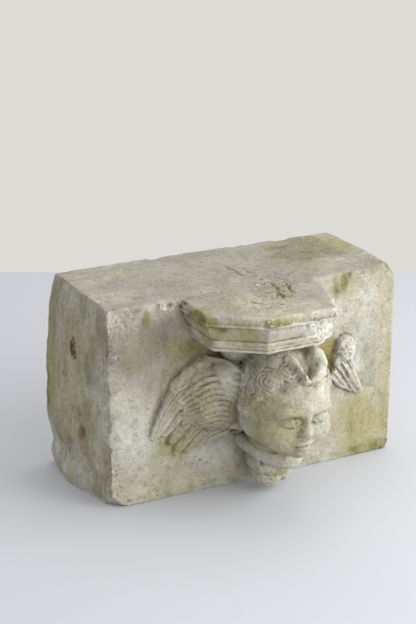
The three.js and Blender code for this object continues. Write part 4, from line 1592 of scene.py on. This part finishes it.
@dataclass(frozen=True)
class WeatheredLimestone:
    """Pale grained limestone under dust, dirt, algae and old stains, with painted shade and highlights."""

    body: tuple = (0.435, 0.425, 0.36, 1)
    warm: tuple = (0.42, 0.40, 0.305, 1)
    grey: tuple = (0.31, 0.305, 0.27, 1)
    pale: tuple = (0.60, 0.60, 0.56, 1)
    fresh: tuple = (0.70, 0.70, 0.67, 1)
    # The dark colour of dirt, used also for painted shade in hollows, creases and sheltered places.
    dirt_and_shade: tuple = (0.115, 0.1, 0.045, 1)
    stain: tuple = (0.30, 0.265, 0.185, 1)
    freckles: tuple = (0.24, 0.22, 0.12, 1)
    end_stain: tuple = (0.235, 0.21, 0.14, 1)
    bump: float = 0.0016
    bump_share: float = 0.8
    gloss: float = 0.25
    along: tuple = (0.12, 1.0, 1.0)
    upright: tuple = (1.0, 1.0, 0.22)
    broad: Speckle = Speckle(9.0, 5.0, 0.6)
    mottle: Speckle = Speckle(42.0, 6.0, 0.68)
    fleck: Speckle = Speckle(190.0, 4.0, 0.7)
    grain: Speckle = Speckle(520.0, 3.0, 0.7)
    streak: Speckle = Speckle(90.0, 5.0, 0.65)
    wash: Speckle = Speckle(60.0, 5.0, 0.65)
    chalk: Speckle = Speckle(27.0, 7.0, 0.72)
    end_runs: Speckle = Speckle(34.0, 4.0, 0.6)
    freckle: Speckle = Speckle(85.0, 6.0, 0.72)
    pores: Speckle = Speckle(300.0, 3.0, 0.6)
    layers: tuple = (
        Growth("dust", (0.34, 0.328, 0.295, 1), (0.265, 0.255, 0.225, 1), 22.0, 1.0, 0.8),
        Growth("algae", (0.36, 0.325, 0.16, 1), (0.25, 0.232, 0.10, 1), 42.0, 1.1, 0.75, True),
        # Soot, and painted shadow beside the left wing's leading edge.
        Growth("soot_and_shadow", (0.19, 0.172, 0.128, 1), (0.12, 0.108, 0.078, 1), 55.0, 1.1, 0.75, True),
        Growth("ochre", (0.30, 0.235, 0.08, 1), (0.2, 0.16, 0.05, 1), 60.0, 0.8, 0.85),
        Growth("green", (0.215, 0.205, 0.075, 1), (0.095, 0.096, 0.026, 1), 95.0, 1.7, 0.85),
        Growth("rust", (0.085, 0.035, 0.02, 1), (0.05, 0.02, 0.012, 1), 300.0, 3.2, 0.95),
    )

    def material(self) -> bpy.types.Material:
        """Builds the finish as nodes."""
        made = bpy.data.materials.new("weathered_limestone")
        made.use_nodes = True
        made.node_tree.nodes.clear()
        kit = NodeKit(made.node_tree)
        place = kit.node("ShaderNodeTexCoord").outputs["Object"]
        upright = kit.drawn(place, self.upright)
        mottle, fleck = kit.noise(place, self.mottle), kit.noise(place, self.fleck)
        grain, streak = kit.noise(place, self.grain), kit.noise(kit.drawn(place, self.along), self.streak)
        pit = kit.remap(kit.noise(place, self.pores), 0.62, 0.70)
        colour = self.bare(kit, place, upright, mottle, streak)
        colour = self.grown(kit, colour, place, upright)
        colour = self.soiled(kit, colour, mottle, fleck, pit)
        speck = kit.times(kit.remap(grain, 0.3, 0.7, 0.86, 1.12), kit.remap(fleck, 0.3, 0.7, 0.9, 1.08))
        tone = kit.node("ShaderNodeHueSaturation")
        kit.feed(tone, Color=colour, Value=speck)
        bump = kit.node("ShaderNodeBump")
        height = self.relief(kit, (grain, fleck, mottle, pit, streak))
        kit.feed(bump, Distance=self.bump, Strength=self.bump_share, Height=height)
        surface = kit.node("ShaderNodeBsdfPrincipled")
        kit.feed(surface, Base_Color=tone.outputs["Color"], Specular_IOR_Level=self.gloss,
                 Roughness=kit.remap(mottle, 0.3, 0.7, 0.82, 0.97), Normal=bump.outputs["Normal"])
        kit.feed(kit.node("ShaderNodeOutputMaterial"), Surface=surface.outputs["BSDF"])
        return made

    def bare(self, kit: NodeKit, place: object, upright: object, mottle: object,
             streak: object) -> Socket:
        """The stone's own colour, its washed runs and streaks, its pale marks, and painted highlights on
        edges and crests.
        """
        broad, run = kit.noise(place, self.broad), kit.noise(upright, self.wash)
        colour = kit.mix(kit.remap(broad, 0.38, 0.66), self.body, self.warm)
        colour = kit.lay(colour, kit.remap(mottle, 0.44, 0.7), 0.6, self.grey)
        colour = kit.lay(colour, kit.remap(kit.noise(place, self.chalk), 0.53, 0.6), 0.4, self.pale)
        washed = kit.times(kit.remap(run, 0.42, 0.66), kit.remap(broad, 0.62, 0.4))
        colour = kit.lay(colour, washed, 0.5, self.stain)
        drawn = kit.plus(kit.times(kit.remap(streak, 0.5, 0.62), kit.mask("bed")),
                         kit.times(kit.remap(run, 0.48, 0.62), kit.mask("end")))
        colour = kit.lay(colour, drawn, 0.5, self.grey, True)
        runs = kit.times(kit.remap(kit.noise(upright, self.end_runs), 0.44, 0.6), kit.mask("end"))
        colour = kit.lay(colour, runs, 0.7, self.end_stain)
        # Pale marks and fresh breaks, with painted highlight on edges and crests, lightened toward the pale
        # colour.
        pale = kit.plus(kit.mask("pale"), kit.times(kit.mask("edge"), 0.45))
        pale = kit.plus(pale, kit.times(kit.mask("crest_highlight"), 0.45))
        return kit.mix(kit.times(pale, kit.remap(mottle, 0.34, 0.6, 1.0, 0.5), True), colour, self.pale)

    def grown(self, kit: NodeKit, colour: object, place: object, upright: object) -> Socket:
        """The layers of dust, growth and stain over a colour, in their order, with painted shadow in the
        soot layer.
        """
        for layer in self.layers:
            group = kit.node("ShaderNodeGroup", node_tree=growth_group())
            kit.feed(group, Place=upright if layer.runs else place, Under=colour, Mask=kit.mask(layer.mask),
                     Colour=layer.colour, Deep_colour=layer.deep, Spot_scale=layer.spots,
                     Raggedness=layer.ragged, Cover=layer.cover)
            colour = group.outputs["Colour"]
        return kit.lay(colour, kit.remap(kit.noise(place, self.freckle), 0.56, 0.63), 0.42, self.freckles)

    def soiled(self, kit: NodeKit, colour: object, mottle: object, fleck: object,
               pit: object) -> Socket:
        """Dirt and painted shade in the hollows, creases and sheltered places, fresh pecks, and dark pores,
        over a colour.
        """
        # Dirt and painted shade in hollows, crevices and creases, and painted shade in sheltered places,
        # darken toward the dark colour.
        sunk = kit.math("MAXIMUM", kit.mask("hollow"), kit.times(kit.mask("crevice_dirt_and_shade"), 0.85))
        sunk = kit.math("MAXIMUM", sunk, kit.times(kit.mask("shelter_shade"), 0.42))
        colour = kit.mix(kit.times(sunk, kit.remap(mottle, 0.35, 0.6, 0.35, 0.95), True), colour, self.dirt_and_shade)
        peck = kit.times(kit.remap(fleck, 0.57, 0.66), kit.mask("pecked"), True)
        return kit.lay(kit.lay(colour, peck, 0.7, self.fresh), pit, 0.5, self.dirt_and_shade)

    def relief(self, kit: NodeKit, noises: tuple) -> Socket:
        """The height for the finest relief: grain, pores, streaks and barbs."""
        grain, fleck, mottle, pit, streak = noises
        barbs = kit.math("COSINE", kit.times(kit.mask("barb"), 2 * math.pi))
        height = kit.plus(kit.times(grain, 0.35), fleck)
        for value, amount in ((mottle, 0.8), (pit, -0.35), (kit.times(streak, kit.mask("bed")), 0.6),
                              (kit.times(barbs, kit.mask("feather")), 0.07)):
            height = kit.plus(height, kit.times(value, amount))
        return height


@dataclass(frozen=True)
class PaleCloth:
    """The plain matt cover of the table."""

    colour: tuple = (0.56, 0.575, 0.63, 1)
    rough: float = 0.9
    gloss: float = 0.1

    def material(self) -> bpy.types.Material:
        """Builds the finish as nodes."""
        made = bpy.data.materials.new("pale_table")
        made.use_nodes = True
        surface = made.node_tree.nodes["Principled BSDF"]
        NodeKit(made.node_tree).feed(
            surface, Base_Color=self.colour, Roughness=self.rough, Specular_IOR_Level=self.gloss)
        return made


@dataclass(frozen=True)
class Lamp:
    """An area light that faces the stone."""

    name: str
    at: tuple
    size: tuple
    power: float
    colour: tuple
    aim: tuple = (0, -0.05, 0.12)

    def build(self) -> None:
        """Makes the light."""
        data = bpy.data.lights.new(self.name, "AREA")
        data.shape = "RECTANGLE"
        data.size, data.size_y = self.size
        data.energy = self.power
        data.color = self.colour
        lamp = add_object(self.name, data)
        lamp.location = self.at
        lamp.rotation_euler = (Vector(self.aim) - Vector(self.at)).to_track_quat("-Z", "Y").to_euler()


@dataclass
class Studio:
    """The table, the soft light and the camera."""

    camera_at: tuple = (-0.7779, -1.4692, 0.7720)
    yaw: float = math.radians(27.129)
    pitch: float = math.radians(19.379)
    lens: float = 83.93
    sensor: float = 36.0
    table_back: float = 0.74
    table_side: float = 3.0
    room: tuple = (0.76, 0.75, 0.71, 1)
    room_strength: float = 0.95
    lamps: tuple = (
        Lamp("window", (1.15, -1.15, 0.9), (1.5, 1.5), 31.0, (1.0, 0.985, 0.95)),
        Lamp("ceiling", (0.5, 0.4, 2.2), (1.6, 1.6), 12.0, (0.97, 0.98, 1.0)),
        Lamp("front", (0.35, -2.1, 0.45), (1.8, 1.0), 12.0, (1.0, 0.99, 0.96)),
    )

    def build(self) -> None:
        """Makes the table, the lights and the camera."""
        self.table()
        self.lights()
        self.camera()

    def table(self) -> None:
        """A wide table whose far edge crosses the view behind the stone."""
        c, s = math.cos(-self.yaw), math.sin(-self.yaw)
        side, back = self.table_side, self.table_back
        corners = [(-side, -side), (side, -side), (side, back), (-side, back)]
        points = [((x * c - y * s) / MM, (x * s + y * c) / MM, 0.0) for x, y in corners]
        table = mesh_object("table", np.array(points), [(0, 1, 2, 3)])
        table.data.materials.append(PaleCloth().material())

    def lights(self) -> None:
        """A broad soft window to the right and above, and a pale room round it."""
        world = bpy.data.worlds.new("room")
        bpy.context.scene.world = world
        world.use_nodes = True
        background = world.node_tree.nodes["Background"]
        NodeKit(world.node_tree).feed(background, Color=self.room, Strength=self.room_strength)
        for lamp in self.lamps:
            lamp.build()
        bpy.context.scene.view_settings.view_transform = "Standard"

    def camera(self) -> None:
        """The camera at the photograph's place and angle."""
        data = bpy.data.cameras.new("camera")
        data.sensor_width = self.sensor
        data.lens = self.lens
        camera = add_object("camera", data)
        camera.location = self.camera_at
        camera.rotation_euler = (math.pi / 2 - self.pitch, 0.0, -self.yaw)
        bpy.context.scene.camera = camera


def main() -> None:
    """Builds the stone, dresses it and sets the stage."""
    logging.basicConfig(level=logging.INFO, format="%(name)s: %(message)s")
    Studio().build()
    skin = StoneSkin()
    forms = [Block().build(), Cap().build(), Head().build()]
    forms += LEFT_WING.build() + RIGHT_WING.build() + Collar().build()
    stone = skin.fuse_forms(forms)
    LOG.info("fused skin: %d points", len(stone.data.vertices))
    masks = Weather().wear(stone)
    places = read_points(stone.data)
    skin.thin_out(stone)
    carry_masks(stone, masks, places)
    stone.name = "carved_corbel"
    stone.data.materials.clear()
    stone.data.materials.append(WeatheredLimestone().material())
    stone.data.shade_smooth()
    stone.data.calc_loop_triangles()
    LOG.info("carved corbel: %d triangles", len(stone.data.loop_triangles))
    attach(stone, "root")
    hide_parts(NODE)


if __name__ == "__main__":
    main()
